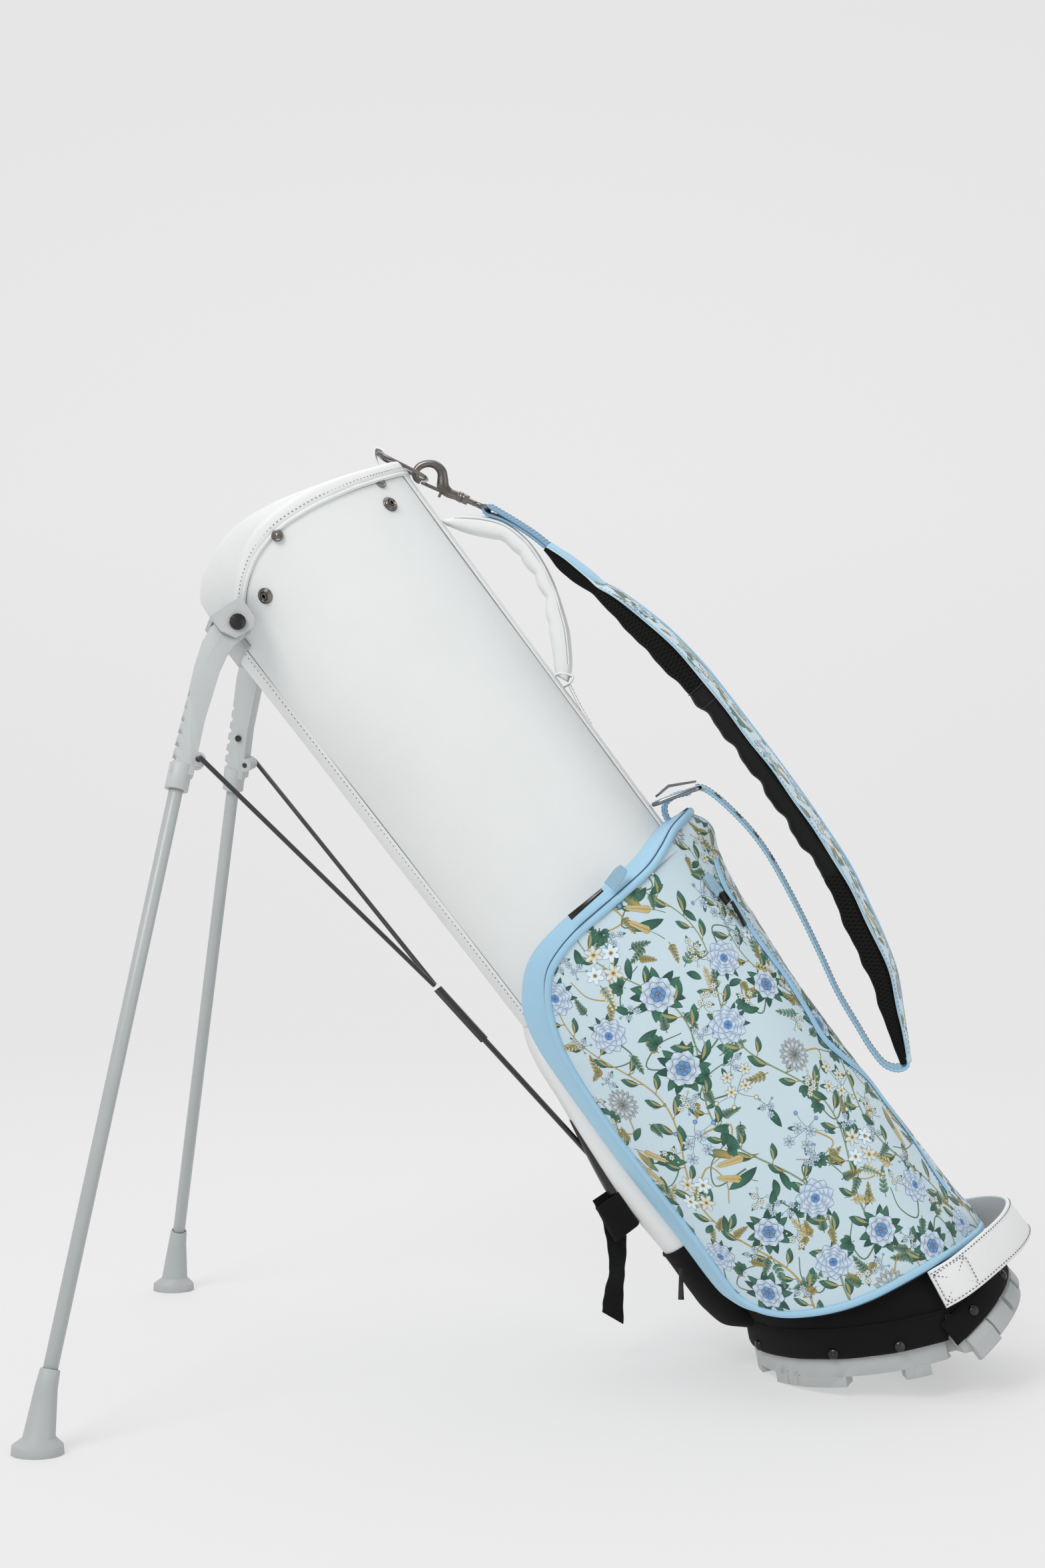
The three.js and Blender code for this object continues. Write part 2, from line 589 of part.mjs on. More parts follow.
// ---- handle, strap and their metalwork ----
const HANDLE = [[112, 829], [124, 820], [141, 801], [154, 778], [155, 745], [146, 708], [132, 677],
  [115.5, 656], [110, 652]];
function grabHandle() {
  const curve = curveThrough(HANDLE.map(([x, z]) => at(x, 0, z)));
  const steps = 16;
  const loops = [];
  for (let i = 0; i <= steps; i++) {
    const centre = curve.getPoint(i / steps);
    const tangent = curve.getTangent(i / steps);
    const out = at().crossVectors(tangent, at(0, 1, 0));
    const swell = Math.sin((Math.PI * i) / steps) ** 0.6;
    const loop = [];
    for (let j = 0; j < 10; j++) {
      const a = (2 * Math.PI * j) / 10;
      loop.push(centre.clone().addScaledVector(out,
        (1.6 + 6.4 * swell) * Math.cos(a)).add(at(0, (7 + 5 * swell) * Math.sin(a), 0)));
    }
    loops.push(loop);
  }
  return loft(loops);
}

const STRAP_TIP = 20; // degrees the strap is tipped towards the near side
const padPath = [[180, 738], [190, 700], [202, 655], [208, 612], [210, 560], [209, 500], [206, 440],
  [202, 390], [196, 340], [186, 292], [172, 248], [159, 216]];
const strapPad = () => strip(padPath, 50, 13, 24, STRAP_TIP);
const strapWebbing = () => strip([[158, 806], [164.5, 790], [171.5, 768], [178, 744]], 22, 3.6, 6, 12);
const strapTail = () =>
  strip([[156, 209], [150, 201], [140, 201], [133, 211], [133.5, 240], [140, 282], [152, 350], [161, 412],
    [163.5, 445], [161, 474], [156.5, 490]], 18, 2.6, 26, 6);
const strapAnchor = () => strip([[112, 497], [111.5, 505], [117, 512], [127, 512], [138, 507.5]], 18,
  2.4, 8);

// A wire bent into a rounded rectangle: `length` along a direction in the plane y = 0, `width` along y.
function wireLoop(from, to, width, radius) {
  const along = at(to[0] - from[0], 0, to[1] - from[1]);
  const centre = at((to[0] + from[0]) / 2, 0, (to[1] + from[1]) / 2);
  const points = [];
  for (const [u, w] of [[-0.5, 0.32], [-0.5, -0.32], [-0.4, -0.5], [0.4, -0.5], [0.5, -0.32], [0.5, 0.32],
    [0.4, 0.5], [-0.4, 0.5]]) {
    points.push(centre.clone().addScaledVector(along, u).add(at(0, w * width, 0)));
  }
  return bar(curveThrough(points, true), radius, 22, 6, true);
}

const RING = { from: [101, 913], to: [121, 872] };
const topRing = () => wireLoop(RING.from, RING.to, 34, 1.8);
const ringTab = () => strip([[94.5, 884], [94, 902], [97, 915], [101.5, 919.5], [105.5, 915], [105,
  907]], 20, 1.6, 12);

// The snap hook lies in the plane y = 0; `along` runs down its axis from the ring's wire.
const HOOK_AXIS = at(0.48, 0, -0.877).normalize();
const HOOK_UP = at(-HOOK_AXIS.z, 0, HOOK_AXIS.x);
const HOOK_TOP = at(RING.to[0], 0, RING.to[1]).addScaledVector(HOOK_AXIS, -4).addScaledVector(HOOK_UP,
  -2.5);
const onHook = (along, up, y = 0) =>
  HOOK_TOP.clone().addScaledVector(HOOK_AXIS, along).addScaledVector(HOOK_UP, up).setY(y);
const flatOnHook = (outline, thickness) =>
  loft([-thickness / 2, thickness / 2].map((y) => outline.map(([a, u]) => onHook(a, u, y))));

function hookBody() {
  const bow = [];
  for (let i = 0; i <= 14; i++) {
    const a = radians(215 - (270 * i) / 14);
    bow.push(onHook(6 + 11.5 * Math.cos(a) * 1.05, 7 + 9.5 * Math.sin(a)));
  }
  bow.push(onHook(21, -1.5));
  const loop = bar(curveThrough(bow), 2.5, 18, 6);
  const shank = flatOnHook([[18, -4.5], [41, -3], [41, 3.5], [24, 5.5], [17, 2]], 6);
  const gateWay = straightBar(onHook(-8, -2.2), onHook(36, -2.2), 2.1, 8);
  const thumbWay = flatOnHook([[20, -7], [30.5, -7], [30.5, -2], [20, -2]], 3);
  return cut(join(loop, shank), gateWay, thumbWay);
}

const hookBolt = () =>
  join(straightBar(onHook(2, -2.2), onHook(28, -2.2), 1.6, 8),
    flatOnHook([[20.6, -8], [23, -8], [23, -2.4], [20.6, -2.4]], 2.2));

function swivelEye() {
  const collar = straightBar(onHook(41.6, 0), onHook(47, 0), 4.4, 12);
  const stem = straightBar(onHook(46.5, 0), onHook(55, 0), 2.6, 10);
  const eye = bar(curveThrough([onHook(55, 0, -9), onHook(55, 0, 9), onHook(64, 0, 11), onHook(68, 0, 0),
    onHook(64, 0, -11)], true), 1.7, 18, 6, true);
  return join(collar, stem, eye);
}

const BUCKLE = { from: [108.5, 517], to: [149.5, 504.5] };
const buckleFrame = () => wireLoop(BUCKLE.from, BUCKLE.to, 34, 1.9);
const buckleProng = () => sidePlate([[113.5, 520.4], [128, 520.8], [150, 509.8], [151, 511.4], [129,
  523.4], [113.5, 522.6]], 3);

// ---- zips ----
const ZIP_AT = 31; // angle of the first, straight stretch of the main zip
function zipSlider(angle, radius, z) {
  const outline = [[0, -6], [4.4, -5], [4.4, 5], [0, 6]];
  const body = loft([-3, 3].map((w) => outline.map(([r, h]) => at(radius + r, w, h))));
  return body.translate(0, 0, z).rotateZ(-radians(angle));
}

function zipPull(from, to, width, normal) {
  const dir = to.clone().sub(from).normalize();
  const across = at().crossVectors(normal, dir).normalize();
  const out = at().crossVectors(dir, across);
  const loops = [from, to].map((p, i) => {
    const w = (i ? 1 : 0.6) * width;
    return [[-w, -0.8], [w, -0.8], [w, 0.8], [-w, 0.8]].map(([a, b]) =>
      p.clone().addScaledVector(across, a).addScaledVector(out, b));
  });
  return loft(loops);
}

const mainFace = (z) => tubeRadius(z) + 0.6 + pocketRise(ZIP_AT, z);
const mainSlider = () => zipSlider(ZIP_AT, mainFace(418) + 0.8, 418);
const mainPull = () =>
  zipPull(polar(mainFace(410) + 6.4, ZIP_AT, 412), polar(mainFace(386) + 3.2, ZIP_AT, 388), 2.6,
    polar(1, ZIP_AT, 0));
const sidePull = () => zipPull(polar(129, 77, 489), polar(129, 93, 487), 2.6, polar(1, 85, 0));
const basePull = () => zipPull(at(-118, -34, 180), at(-134.5, -34, 158), 2.6, at(0, -1, 0));

// ---- leg strap ----
const keeperLoop = () => cut(block(-152, -128.6, -20, 20, 238, 262), block(-149.6, -131, -30, 30, 240.4,
  259.6));
const strapEnd = () => strip([[-153.6, 246], [-160, 238], [-172, 222], [-184, 206], [-194, 190], [-203,
  175]], 24, 1.8, 8);

// ---- assembly ----
const nearLeg = new THREE.Group();
const farLeg = new THREE.Group(); // the near leg seen in a mirror
farLeg.scale.y = -1;
bag.add(nearLeg, farLeg);

place(bag, "bag_tube", bagTube(), WHITE_LEATHER);
place(bag, "top_collar", topCollar(), WHITE_LEATHER);
place(bag, "rim_band", rimBand(), WHITE_LEATHER);
place(bag, "club_divider", clubDivider(), BLACK_CLOTH);
place(bag, "spine_stay", spineStay(), SPRING_STEEL);
place(bag, "belly_channel", bellyChannel(), WHITE_LEATHER);
place(bag, "lower_cover", lowerCover(), BLACK_CLOTH);
place(bag, "rod_lip", rodLip(), BLACK_STEEL);
place(bag, "main_pocket", mainPocket(), FLORAL_CLOTH);
place(bag, "base_rear", baseRear(), GREY_PLASTIC);
place(bag, "base_hinge_pin", baseHingePin(), SPRING_STEEL);
place(bag, "base_sleeve", baseSleeve(), BLACK_CLOTH);
place(bag, "lift_loop", liftLoop(), WHITE_LEATHER);
place(bag, "leg_bracket", legBracket(), GREY_PLASTIC);
place(bag, "ring_tab", ringTab(), WHITE_LEATHER);
place(bag, "strap_anchor", strapAnchor(), BLUE_TRIM);
place(bag, "keeper_loop", keeperLoop(), BLACK_CLOTH);
place(frontPlate, "base_front", baseFront(), GREY_PLASTIC);
place(frontPlate, "sleeve_hem", sleeveHem(), BLACK_CLOTH);
for (const [side, leg] of [["near", nearLeg], ["far", farLeg]]) {
  place(leg, side + "_leg_arm", legArm(), GREY_PLASTIC);
  place(leg, side + "_leg_tube", legTube(), GREY_PLASTIC);
  place(leg, side + "_arm_screw", armScrew(), GUNMETAL);
  place(leg, side + "_pivot_bolt", pivotBolt(), BLACK_STEEL);
  place(leg, side + "_rod_pin", rodPin(), BLACK_STEEL);
  place(leg, side + "_upper_rod", upperRod(), BLACK_STEEL);
}
const footGroup = new THREE.Group();
const farFootGroup = new THREE.Group();
farFootGroup.scale.y = -1;
standBag.add(footGroup, farFootGroup);
place(footGroup, "near_foot", legFoot(), GREY_PLASTIC);
place(farFootGroup, "far_foot", legFoot(), GREY_PLASTIC);
place(bag, "near_lower_rod", lowerRod(-1), BLACK_STEEL);
place(bag, "far_lower_rod", lowerRod(1), BLACK_STEEL);
place(bag, "rod_sleeve", rodSleeve(), BLACK_STEEL);
place(bag, "grab_handle", grabHandle(), WHITE_LEATHER);
place(bag, "strap_pad", strapPad(), FLORAL_CLOTH);
place(bag, "strap_webbing", strapWebbing(), BLUE_TRIM);
place(bag, "strap_tail", strapTail(), BLUE_TRIM);
place(bag, "top_ring", topRing(), GUNMETAL);
place(bag, "hook_body", hookBody(), GUNMETAL);
place(bag, "hook_bolt", hookBolt(), GUNMETAL);
place(bag, "swivel_eye", swivelEye(), GUNMETAL);
place(bag, "buckle_frame", buckleFrame(), CHROME);
place(bag, "buckle_prong", buckleProng(), CHROME);
place(bag, "main_zip_slider", mainSlider(), GUNMETAL);
place(bag, "main_zip_pull", mainPull(), GUNMETAL);
place(bag, "side_zip_pull", sidePull(), GUNMETAL);
place(bag, "base_zip_pull", basePull(), GUNMETAL);
place(bag, "leg_strap_end", strapEnd(), BLACK_CLOTH);

export default standBag;
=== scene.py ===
"""A golf stand bag on its two opened legs: soft goods, print, stitching and finishes over the CAD frame."""

import math
import random

import bmesh
import bpy
import numpy as np
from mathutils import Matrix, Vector


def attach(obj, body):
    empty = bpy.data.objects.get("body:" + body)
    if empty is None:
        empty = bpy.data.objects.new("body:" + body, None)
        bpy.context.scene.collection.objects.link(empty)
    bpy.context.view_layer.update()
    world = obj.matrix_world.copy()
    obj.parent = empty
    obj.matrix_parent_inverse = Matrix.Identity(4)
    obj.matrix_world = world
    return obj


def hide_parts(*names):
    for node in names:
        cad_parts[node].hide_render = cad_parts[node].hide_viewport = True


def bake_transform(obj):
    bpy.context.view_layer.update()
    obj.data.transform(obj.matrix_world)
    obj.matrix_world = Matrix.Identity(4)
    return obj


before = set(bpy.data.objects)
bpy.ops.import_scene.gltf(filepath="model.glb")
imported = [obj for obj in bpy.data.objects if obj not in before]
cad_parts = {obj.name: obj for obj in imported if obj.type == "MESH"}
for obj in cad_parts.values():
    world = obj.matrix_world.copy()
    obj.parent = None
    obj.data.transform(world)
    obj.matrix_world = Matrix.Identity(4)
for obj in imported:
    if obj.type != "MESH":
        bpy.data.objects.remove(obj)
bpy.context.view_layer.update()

# ---- dimensions, in millimetres in the bag's own frame ----
# x runs from the belly to the spine, z up the bag, and angles are counted from the spine to the near side.
LEAN = math.radians(37.07)
BAG_FOOT = (308.65, 0.0, 21.6)
HINGE = (35.0, 0.0, 20.0)
PLATE_TILT = math.radians(27.27)
PLATE_SHIFT = -13.1
BASE_R = 108.3
BASE_CUT = 31.0  # the base is cut off square beyond this x, where the front plate begins
BASE_CUT_SLOPE = 0.512
HEM_R = 110.3
TUBE_R0, TUBE_TAPER = 96.4, 0.0139
CHANNEL_HALF = 30.0
COVER_HALF = 31.5
SPINE_EDGE = 13.0  # degrees from the spine to each of its seams
BELLY_EDGE = 151.0
RIM_END = 141.0  # degrees from the spine to each end of the rim band
MM_PER_DEGREE = 1.9  # along the tube's wall, so that outlines in degrees and millimetres are evenly spaced
FULL_TURN = 6.28
ALONG_Y = np.array((0.0, 1.0, 0.0))


def tube_radius(z):
    return TUBE_R0 + TUBE_TAPER * np.asarray(z, float)


# ---- shape helpers ----
def smooth(knots):
    """A smooth function through (input, output) knots, inputs rising."""
    xs, ys = np.array(knots, float).T
    slope = np.gradient(ys, xs)

    def value(x):
        x = np.clip(np.asarray(x, float), xs[0], xs[-1])
        i = np.clip(np.searchsorted(xs, x, side="right") - 1, 0, len(xs) - 2)
        h = xs[i + 1] - xs[i]
        t = (x - xs[i]) / h
        bend = t * (1 - t) * h * (slope[i] * (1 - t) - slope[i + 1] * t)
        return ys[i] + (ys[i + 1] - ys[i]) * t * t * (3 - 2 * t) + bend

    return value


def polar(r, degrees, z):
    """Points at a radius, an angle from the spine and a height."""
    a = np.radians(degrees)
    return np.stack(np.broadcast_arrays(r * np.cos(a), -r * np.sin(a), z), -1)


def spline(points, count, closed=False):
    """`count` evenly spaced points on a smooth curve through the given ones."""
    p = np.asarray(points, float)
    p = np.vstack([p[-1], p, p[:2]]) if closed else np.vstack([2 * p[0] - p[1], p, 2 * p[-1] - p[-2]])
    t = np.concatenate([[0], np.cumsum(np.linalg.norm(np.diff(p, axis=0), axis=1) ** 0.5 + 1e-9)])
    out = []
    for i in range(1, len(p) - 2):
        u = np.linspace(t[i], t[i + 1], 24, endpoint=False)[:, None]
        a1 = p[i - 1] + (p[i] - p[i - 1]) * (u - t[i - 1]) / (t[i] - t[i - 1])
        a2 = p[i] + (p[i + 1] - p[i]) * (u - t[i]) / (t[i + 1] - t[i])
        a3 = p[i + 1] + (p[i + 2] - p[i + 1]) * (u - t[i + 1]) / (t[i + 2] - t[i + 1])
        b1 = a1 + (a2 - a1) * (u - t[i - 1]) / (t[i + 1] - t[i - 1])
        b2 = a2 + (a3 - a2) * (u - t[i]) / (t[i + 2] - t[i])
        out.append(b1 + (b2 - b1) * (u - t[i]) / (t[i + 1] - t[i]))
    out.append(p[-2][None])
    dense = np.vstack(out)
    s = distance(dense)
    return read_at(np.linspace(0, s[-1], count, endpoint=not closed), s, dense)


def turns(count):
    """`count` angles that divide a full turn evenly."""
    return np.linspace(0, 2 * np.pi, count, endpoint=False)


def distance(path):
    """The distance along a path to each of its points."""
    return np.concatenate([[0], np.cumsum(np.linalg.norm(np.diff(path, axis=0), axis=1))])


def read_at(wanted, steps, rows):
    """Rows of values given at `steps`, read off at the wanted ones."""
    return np.stack([np.interp(wanted, steps, rows[:, k]) for k in range(rows.shape[1])], -1)


def middle_line(points, count):
    """A smooth line in the bag's plane of symmetry through (x, z) points."""
    return spline(np.array([(x, 0, z) for x, z in points], float), count)


def squared(angle, flat_x, flat_y):
    """A point of a circle pressed towards a square: the smaller a power, the flatter its sides."""
    c, s = math.cos(angle), math.sin(angle)
    return math.copysign(abs(c) ** flat_x, c), math.copysign(abs(s) ** flat_y, s)


def fade(value, start, end):
    """0 before `start`, 1 beyond `end`, and straight between them."""
    return np.clip((value - start) / (end - start), 0, 1)


def unit(v):
    return v / np.maximum(np.linalg.norm(v, axis=-1, keepdims=True), 1e-9)


def tangents(path, closed=False):
    if closed:
        return unit(np.roll(path, -1, 0) - np.roll(path, 1, 0))
    return unit(np.gradient(path, axis=0))


def sides_of(path, closed=False, up=(0, 1, 0)):
    """Two directions square to the path at each point; the first starts near `up` and hardly turns."""
    t = tangents(path, closed)
    side = np.array(up, float)
    rows = []
    for d in t:
        side = unit(side - d * np.dot(side, d))
        rows.append(side)
    rows = np.array(rows)
    return rows, np.cross(t, rows)


def sweep(path, section, closed=False, up=(0, 1, 0), side=None):
    """Carries a closed section (points along `side` and along its normal) down a path."""
    a, b = sides_of(path, closed, up) if side is None else (side, np.cross(tangents(path, closed), side))
    section = np.asarray(section, float)
    if section.ndim == 2:
        section = np.broadcast_to(section, (len(path),) + section.shape)
    return path[:, None] + a[:, None] * section[..., :1] + b[:, None] * section[..., 1:]


def ring(radius, count=10, flat=1.0):
    t = turns(count)
    return np.stack([radius * np.cos(t), radius * flat * np.sin(t)], -1)


def rounded(width, height, corner, count=4):
    """A rounded rectangle as a loop of points."""
    pts = []
    for cx, cy, start in ((1, 1, 0), (-1, 1, 90), (-1, -1, 180), (1, -1, 270)):
        for t in np.radians(np.linspace(start, start + 90, count)):
            x = cx * (width / 2 - corner) + corner * math.cos(t)
            y = cy * (height / 2 - corner) + corner * math.sin(t)
            pts.append((x, y))
    return np.array(pts)


def to_row(p):
    """The bag's frame in millimetres to the row frame in metres."""
    p = np.asarray(p, float)
    c, s = math.cos(LEAN), math.sin(LEAN)
    x = BAG_FOOT[0] + p[..., 0] * c - p[..., 2] * s
    z = BAG_FOOT[2] + p[..., 0] * s + p[..., 2] * c
    return np.stack([x, p[..., 1], z], -1) * 0.001


def on_plate(p):
    """A point of the closed front plate, moved to where the plate is at rest."""
    q = np.asarray(p, float) - HINGE
    c, s = math.cos(PLATE_TILT), math.sin(PLATE_TILT)
    return np.stack([q[..., 0] * c + q[..., 2] * s, q[..., 1], -q[..., 0] * s + q[..., 2] * c], -1) + HINGE


class Shape:
    """Collects grids of points into one mesh."""

    def __init__(self):
        self.points, self.faces, self.uvs, self.slots, self.tints = [], [], [], [], []
        self.count = 0

    def grid(self, p, wrap_u=False, wrap_v=False, slot=0, caps=False, tint=None):
        nu, nv = p.shape[:2]
        index = np.arange(nu * nv).reshape(nu, nv) + self.count
        full = p
        if wrap_u:
            index, full = np.vstack([index, index[:1]]), np.vstack([full, full[:1]])
        if wrap_v:
            index, full = np.hstack([index, index[:, :1]]), np.hstack([full, full[:, :1]])
        # the map follows the mean spacing of the rows, in units of 100 mm
        along = np.linalg.norm(np.diff(full, axis=0), axis=2).mean(axis=1)
        across = np.linalg.norm(np.diff(full, axis=1), axis=2).mean(axis=0)
        u = np.concatenate([[0], np.cumsum(along)])[:, None] + np.zeros(index.shape)
        v = np.concatenate([[0], np.cumsum(across)])[None] + np.zeros(index.shape)
        uv = np.stack([u, v], -1) * 0.01

        def corners(a):
            return np.stack([a[:-1, :-1], a[1:, :-1], a[1:, 1:], a[:-1, 1:]], 2)

        quads = corners(index).reshape(-1, 4)
        self.points.append(p.reshape(-1, 3))
        self.faces += quads.tolist()
        self.uvs += corners(uv).reshape(-1, 4, 2).tolist()
        self.slots += [slot] * len(quads)
        tint = (1.0, 1.0, 1.0, 1.0) if tint is None else tint
        self.tints.append(np.broadcast_to(np.array(tint, float), (nu * nv, 4)))
        if caps:
            for row, flip in ((index[0], True), (index[-1], False)):
                face = row[:-1] if wrap_v else row
                self.faces.append((face[::-1] if flip else face).tolist())
                self.uvs.append([[0.0, 0.0]] * len(face))
                self.slots.append(slot)
        self.count += nu * nv
        return self

    def build(self, name, materials, body, finish, replaces=(), tinted=False, flat=False):
        mesh = bpy.data.meshes.new(name)
        mesh.from_pydata(to_row(np.vstack(self.points)).tolist(), [], self.faces)
        layer = mesh.uv_layers.new(name="UVMap")
        layer.data.foreach_set("uv", np.array([x for face in self.uvs for x in face], np.float32).ravel())
        if tinted:
            colours = mesh.color_attributes.new("tint", "FLOAT_COLOR", "POINT")
            colours.data.foreach_set("color", np.vstack(self.tints).astype(np.float32).ravel())
        mesh.polygons.foreach_set("use_smooth", [not flat] * len(mesh.polygons))
        for m in materials if isinstance(materials, (list, tuple)) else [materials]:
            mesh.materials.append(m)
        mesh.polygons.foreach_set("material_index", self.slots)
        mesh.update()
        piece = bpy.data.objects.new(name, mesh)
        bpy.context.scene.collection.objects.link(piece)
        if body:
            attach(piece, body)
        if replaces:
            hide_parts(*replaces)
        return piece


def outward(piece):
    """Turns the faces of a closed piece outwards."""
    b = bmesh.new()
    b.from_mesh(piece.data)
    bmesh.ops.recalc_face_normals(b, faces=b.faces)
    b.to_mesh(piece.data)
    b.free()
    return piece


def thicken(piece, millimetres, offset=-1):
    m = piece.modifiers.new("thickness", "SOLIDIFY")
    m.thickness = millimetres * 0.001
    m.offset = offset
    return piece


def soften(piece, millimetres, segments=2, angle=35):
    m = piece.modifiers.new("soft_edges", "BEVEL")
    m.width = millimetres * 0.001
    m.segments = segments
    m.limit_method = "ANGLE"
    m.angle_limit = math.radians(angle)
    m.harden_normals = False
    return piece


# ---- materials ----
class Finish:
    """A node material under construction, built on one Principled shader."""

    def __init__(self, name):
        self.material = bpy.data.materials.new(name)
        self.material.use_nodes = True
        self.tree = self.material.node_tree
        self.tree.nodes.clear()
        self.shader = self.node("ShaderNodeBsdfPrincipled")
        self.tree.links.new(self.shader.outputs[0], self.node("ShaderNodeOutputMaterial").inputs[0])
        self.height = None

    def node(self, kind, settings=None, **inputs):
        n = self.tree.nodes.new(kind)
        for key, value in (settings or {}).items():
            setattr(n, key, value)
        for key, value in inputs.items():
            self.plug(n, key, value)
        return n

    def plug(self, n, key, value):
        numbered = key[0] == "_"
        socket = n.inputs[int(key[1:]) if numbered else key.replace("_", " ")]
        if isinstance(value, bpy.types.NodeSocket):
            self.tree.links.new(value, socket)
        elif isinstance(value, bpy.types.Node):
            self.tree.links.new(value.outputs[0], socket)
        else:
            if hasattr(value, "__len__") and len(value) == 3 and len(socket.default_value) == 4:
                value = (*value, 1.0)
            socket.default_value = value

    def set(self, **inputs):
        for key, value in inputs.items():
            self.plug(self.shader, key, value)
        return self

    def place(self, source="Object"):
        return self.node("ShaderNodeTexCoord").outputs[source]

    def scaled(self, vector, scale, turn=(0, 0, 0)):
        return self.node("ShaderNodeMapping", Vector=vector, Scale=scale, Rotation=turn).outputs[0]

    def noise(self, scale, detail=2.0, rough=0.5, vector=None, distortion=0.0):
        n = self.node("ShaderNodeTexNoise", Vector=vector or self.place(), Scale=scale, Detail=detail)
        self.plug(n, "Roughness", rough)
        self.plug(n, "Distortion", distortion)
        return n.outputs["Fac"]

    def cells(self, scale, vector=None, feature="F1", randomness=1.0):
        vector = vector or self.place()
        n = self.node("ShaderNodeTexVoronoi", {"feature": feature}, Vector=vector, Scale=scale)
        self.plug(n, "Randomness", randomness)
        return n.outputs["Distance"]

    def math(self, operation, a, b):
        return self.node("ShaderNodeMath", {"operation": operation}, _0=a, _1=b).outputs[0]

    def remap(self, value, low, high, to_low=0.0, to_high=1.0):
        n = self.node("ShaderNodeMapRange", Value=value, From_Min=low, From_Max=high)
        self.plug(n, "To Min", to_low)
        self.plug(n, "To Max", to_high)
        return n.outputs[0]

    def vary(self, scale, detail, low, high):
        """Slow noise that runs between two values."""
        return self.remap(self.noise(scale, detail), 0.3, 0.7, low, high)

    def mix(self, factor, a, b, blend="MIX"):
        settings = {"data_type": "RGBA", "blend_type": blend}
        return self.node("ShaderNodeMix", settings, _0=factor, _6=a, _7=b).outputs[2]

    def bump(self, height, distance, strength=1.0):
        """Adds a relief; `distance` is its full height in millimetres."""
        n = self.node("ShaderNodeBump", Strength=strength, Distance=distance * 0.001, Height=height)
        if self.height is not None:
            self.tree.links.new(self.height, n.inputs["Normal"])
        self.height = n.outputs[0]
        self.tree.links.new(self.height, self.shader.inputs["Normal"])
        return self

    def waves(self, vector, scale, axis):
        settings = {"bands_direction": axis, "wave_profile": "SIN"}
        return self.node("ShaderNodeTexWave", settings, Vector=vector, Scale=scale).outputs["Fac"]


def leather(name, colour, grain=0.09, rough=0.5):
    """Coated leather: a fine pebbled grain, faint pores and a slow change of tone."""
    f = Finish(name)
    pebble = f.cells(950.0, feature="SMOOTH_F1")
    pores = f.noise(2600.0, 2.0)
    tone = f.noise(9.0, 3.0)
    f.set(Base_Color=f.mix(f.remap(tone, 0.35, 0.65), [c * 0.965 for c in colour], colour))
    f.set(Roughness=f.vary(60.0, 4.0, rough - 0.05, rough + 0.07))
    f.set(Specular_IOR_Level=0.42, Coat_Weight=0.06, Coat_Roughness=0.35)
    f.bump(pebble, grain).bump(pores, grain * 0.35)
    return f.material


def coated_cloth(name, colour, weave=0.035, rough=0.42, tinted=False):
    """Smooth coated cloth: its fine plain weave just shows through the coating."""
    f = Finish(name)
    uv = f.place("UV")
    cross = f.math("MULTIPLY", f.waves(uv, 26.0, "X"), f.waves(uv, 26.0, "Y"))
    base = f.node("ShaderNodeAttribute", {"attribute_name": "tint"}).outputs["Color"] if tinted else colour
    shade = f.mix(f.vary(14.0, 3.0, 0.0, 1.0), (0.965, 0.97, 0.975), (1, 1, 1))
    f.set(Base_Color=f.mix(1.0, base, shade, "MULTIPLY"))
    f.set(Roughness=f.vary(70.0, 3.0, rough - 0.04, rough + 0.05))
    f.set(Specular_IOR_Level=0.4, Sheen_Weight=0.08, Sheen_Roughness=0.4)
    f.bump(cross, weave)
    return f.material


def woven(name, colour, pitch, depth, rough, sheen=0.2):
    """Webbing or canvas: crossing ribs of yarn, their crowns painted lighter as caught light and the hollows
    between them darker as painted shade.
    """
    f = Finish(name)
    uv = f.place("UV")
    scale = 31.4 / pitch
    ribs = f.waves(uv, scale, "X")
    picks = f.waves(uv, scale * 1.9, "Y")
    yarn = f.math("MULTIPLY", f.math("ADD", ribs, 0.35), f.math("ADD", picks, 0.5))
    fuzz = f.noise(900.0, 3.0)
    dark = [c * 0.72 for c in colour]
    # colour follows the yarn's height: painted shade in the hollows, painted highlight on the crowns
    f.set(Base_Color=f.mix(f.remap(yarn, 0.2, 1.4), dark, colour))
    f.set(Roughness=rough, Sheen_Weight=sheen, Sheen_Roughness=0.5, Specular_IOR_Level=0.2)
    f.bump(yarn, depth).bump(fuzz, depth * 0.2)
    return f.material


def spacer_mesh(name, colour):
    """Black padding mesh: rows of small holes with soft yarn between them; the holes are painted dark as the
    shade inside them.
    """
    f = Finish(name)
    uv = f.scaled(f.place("UV"), (1.0, 0.62, 1.0), (0, 0, math.radians(45)))
    holes = f.cells(36.0, uv, randomness=0.0)
    wall = f.remap(holes, 0.22, 0.42)
    yarn = f.noise(1500.0, 3.0)
    # colour falls to a fifth inside the holes: painted shade in the recesses
    f.set(Base_Color=f.mix(wall, [c * 0.2 for c in colour], colour))
    f.set(Roughness=0.85, Sheen_Weight=0.03, Specular_IOR_Level=0.15)
    f.bump(wall, 0.9).bump(yarn, 0.08)
    return f.material


def moulded(name, colour, rough=0.48):
    """Moulded plastic: a fine spark-eroded skin and slight flow marks."""
    f = Finish(name)
    skin = f.noise(2200.0, 3.0)
    flow = f.noise(12.0, 4.0, distortion=0.6)
    f.set(Base_Color=f.mix(f.remap(flow, 0.3, 0.7), [c * 0.95 for c in colour], colour))
    f.set(Roughness=f.vary(45.0, 4.0, rough - 0.06, rough + 0.08))
    f.set(Specular_IOR_Level=0.45, Subsurface_Weight=0.04, Subsurface_Radius=(0.003, 0.003, 0.003))
    f.bump(skin, 0.03)
    return f.material


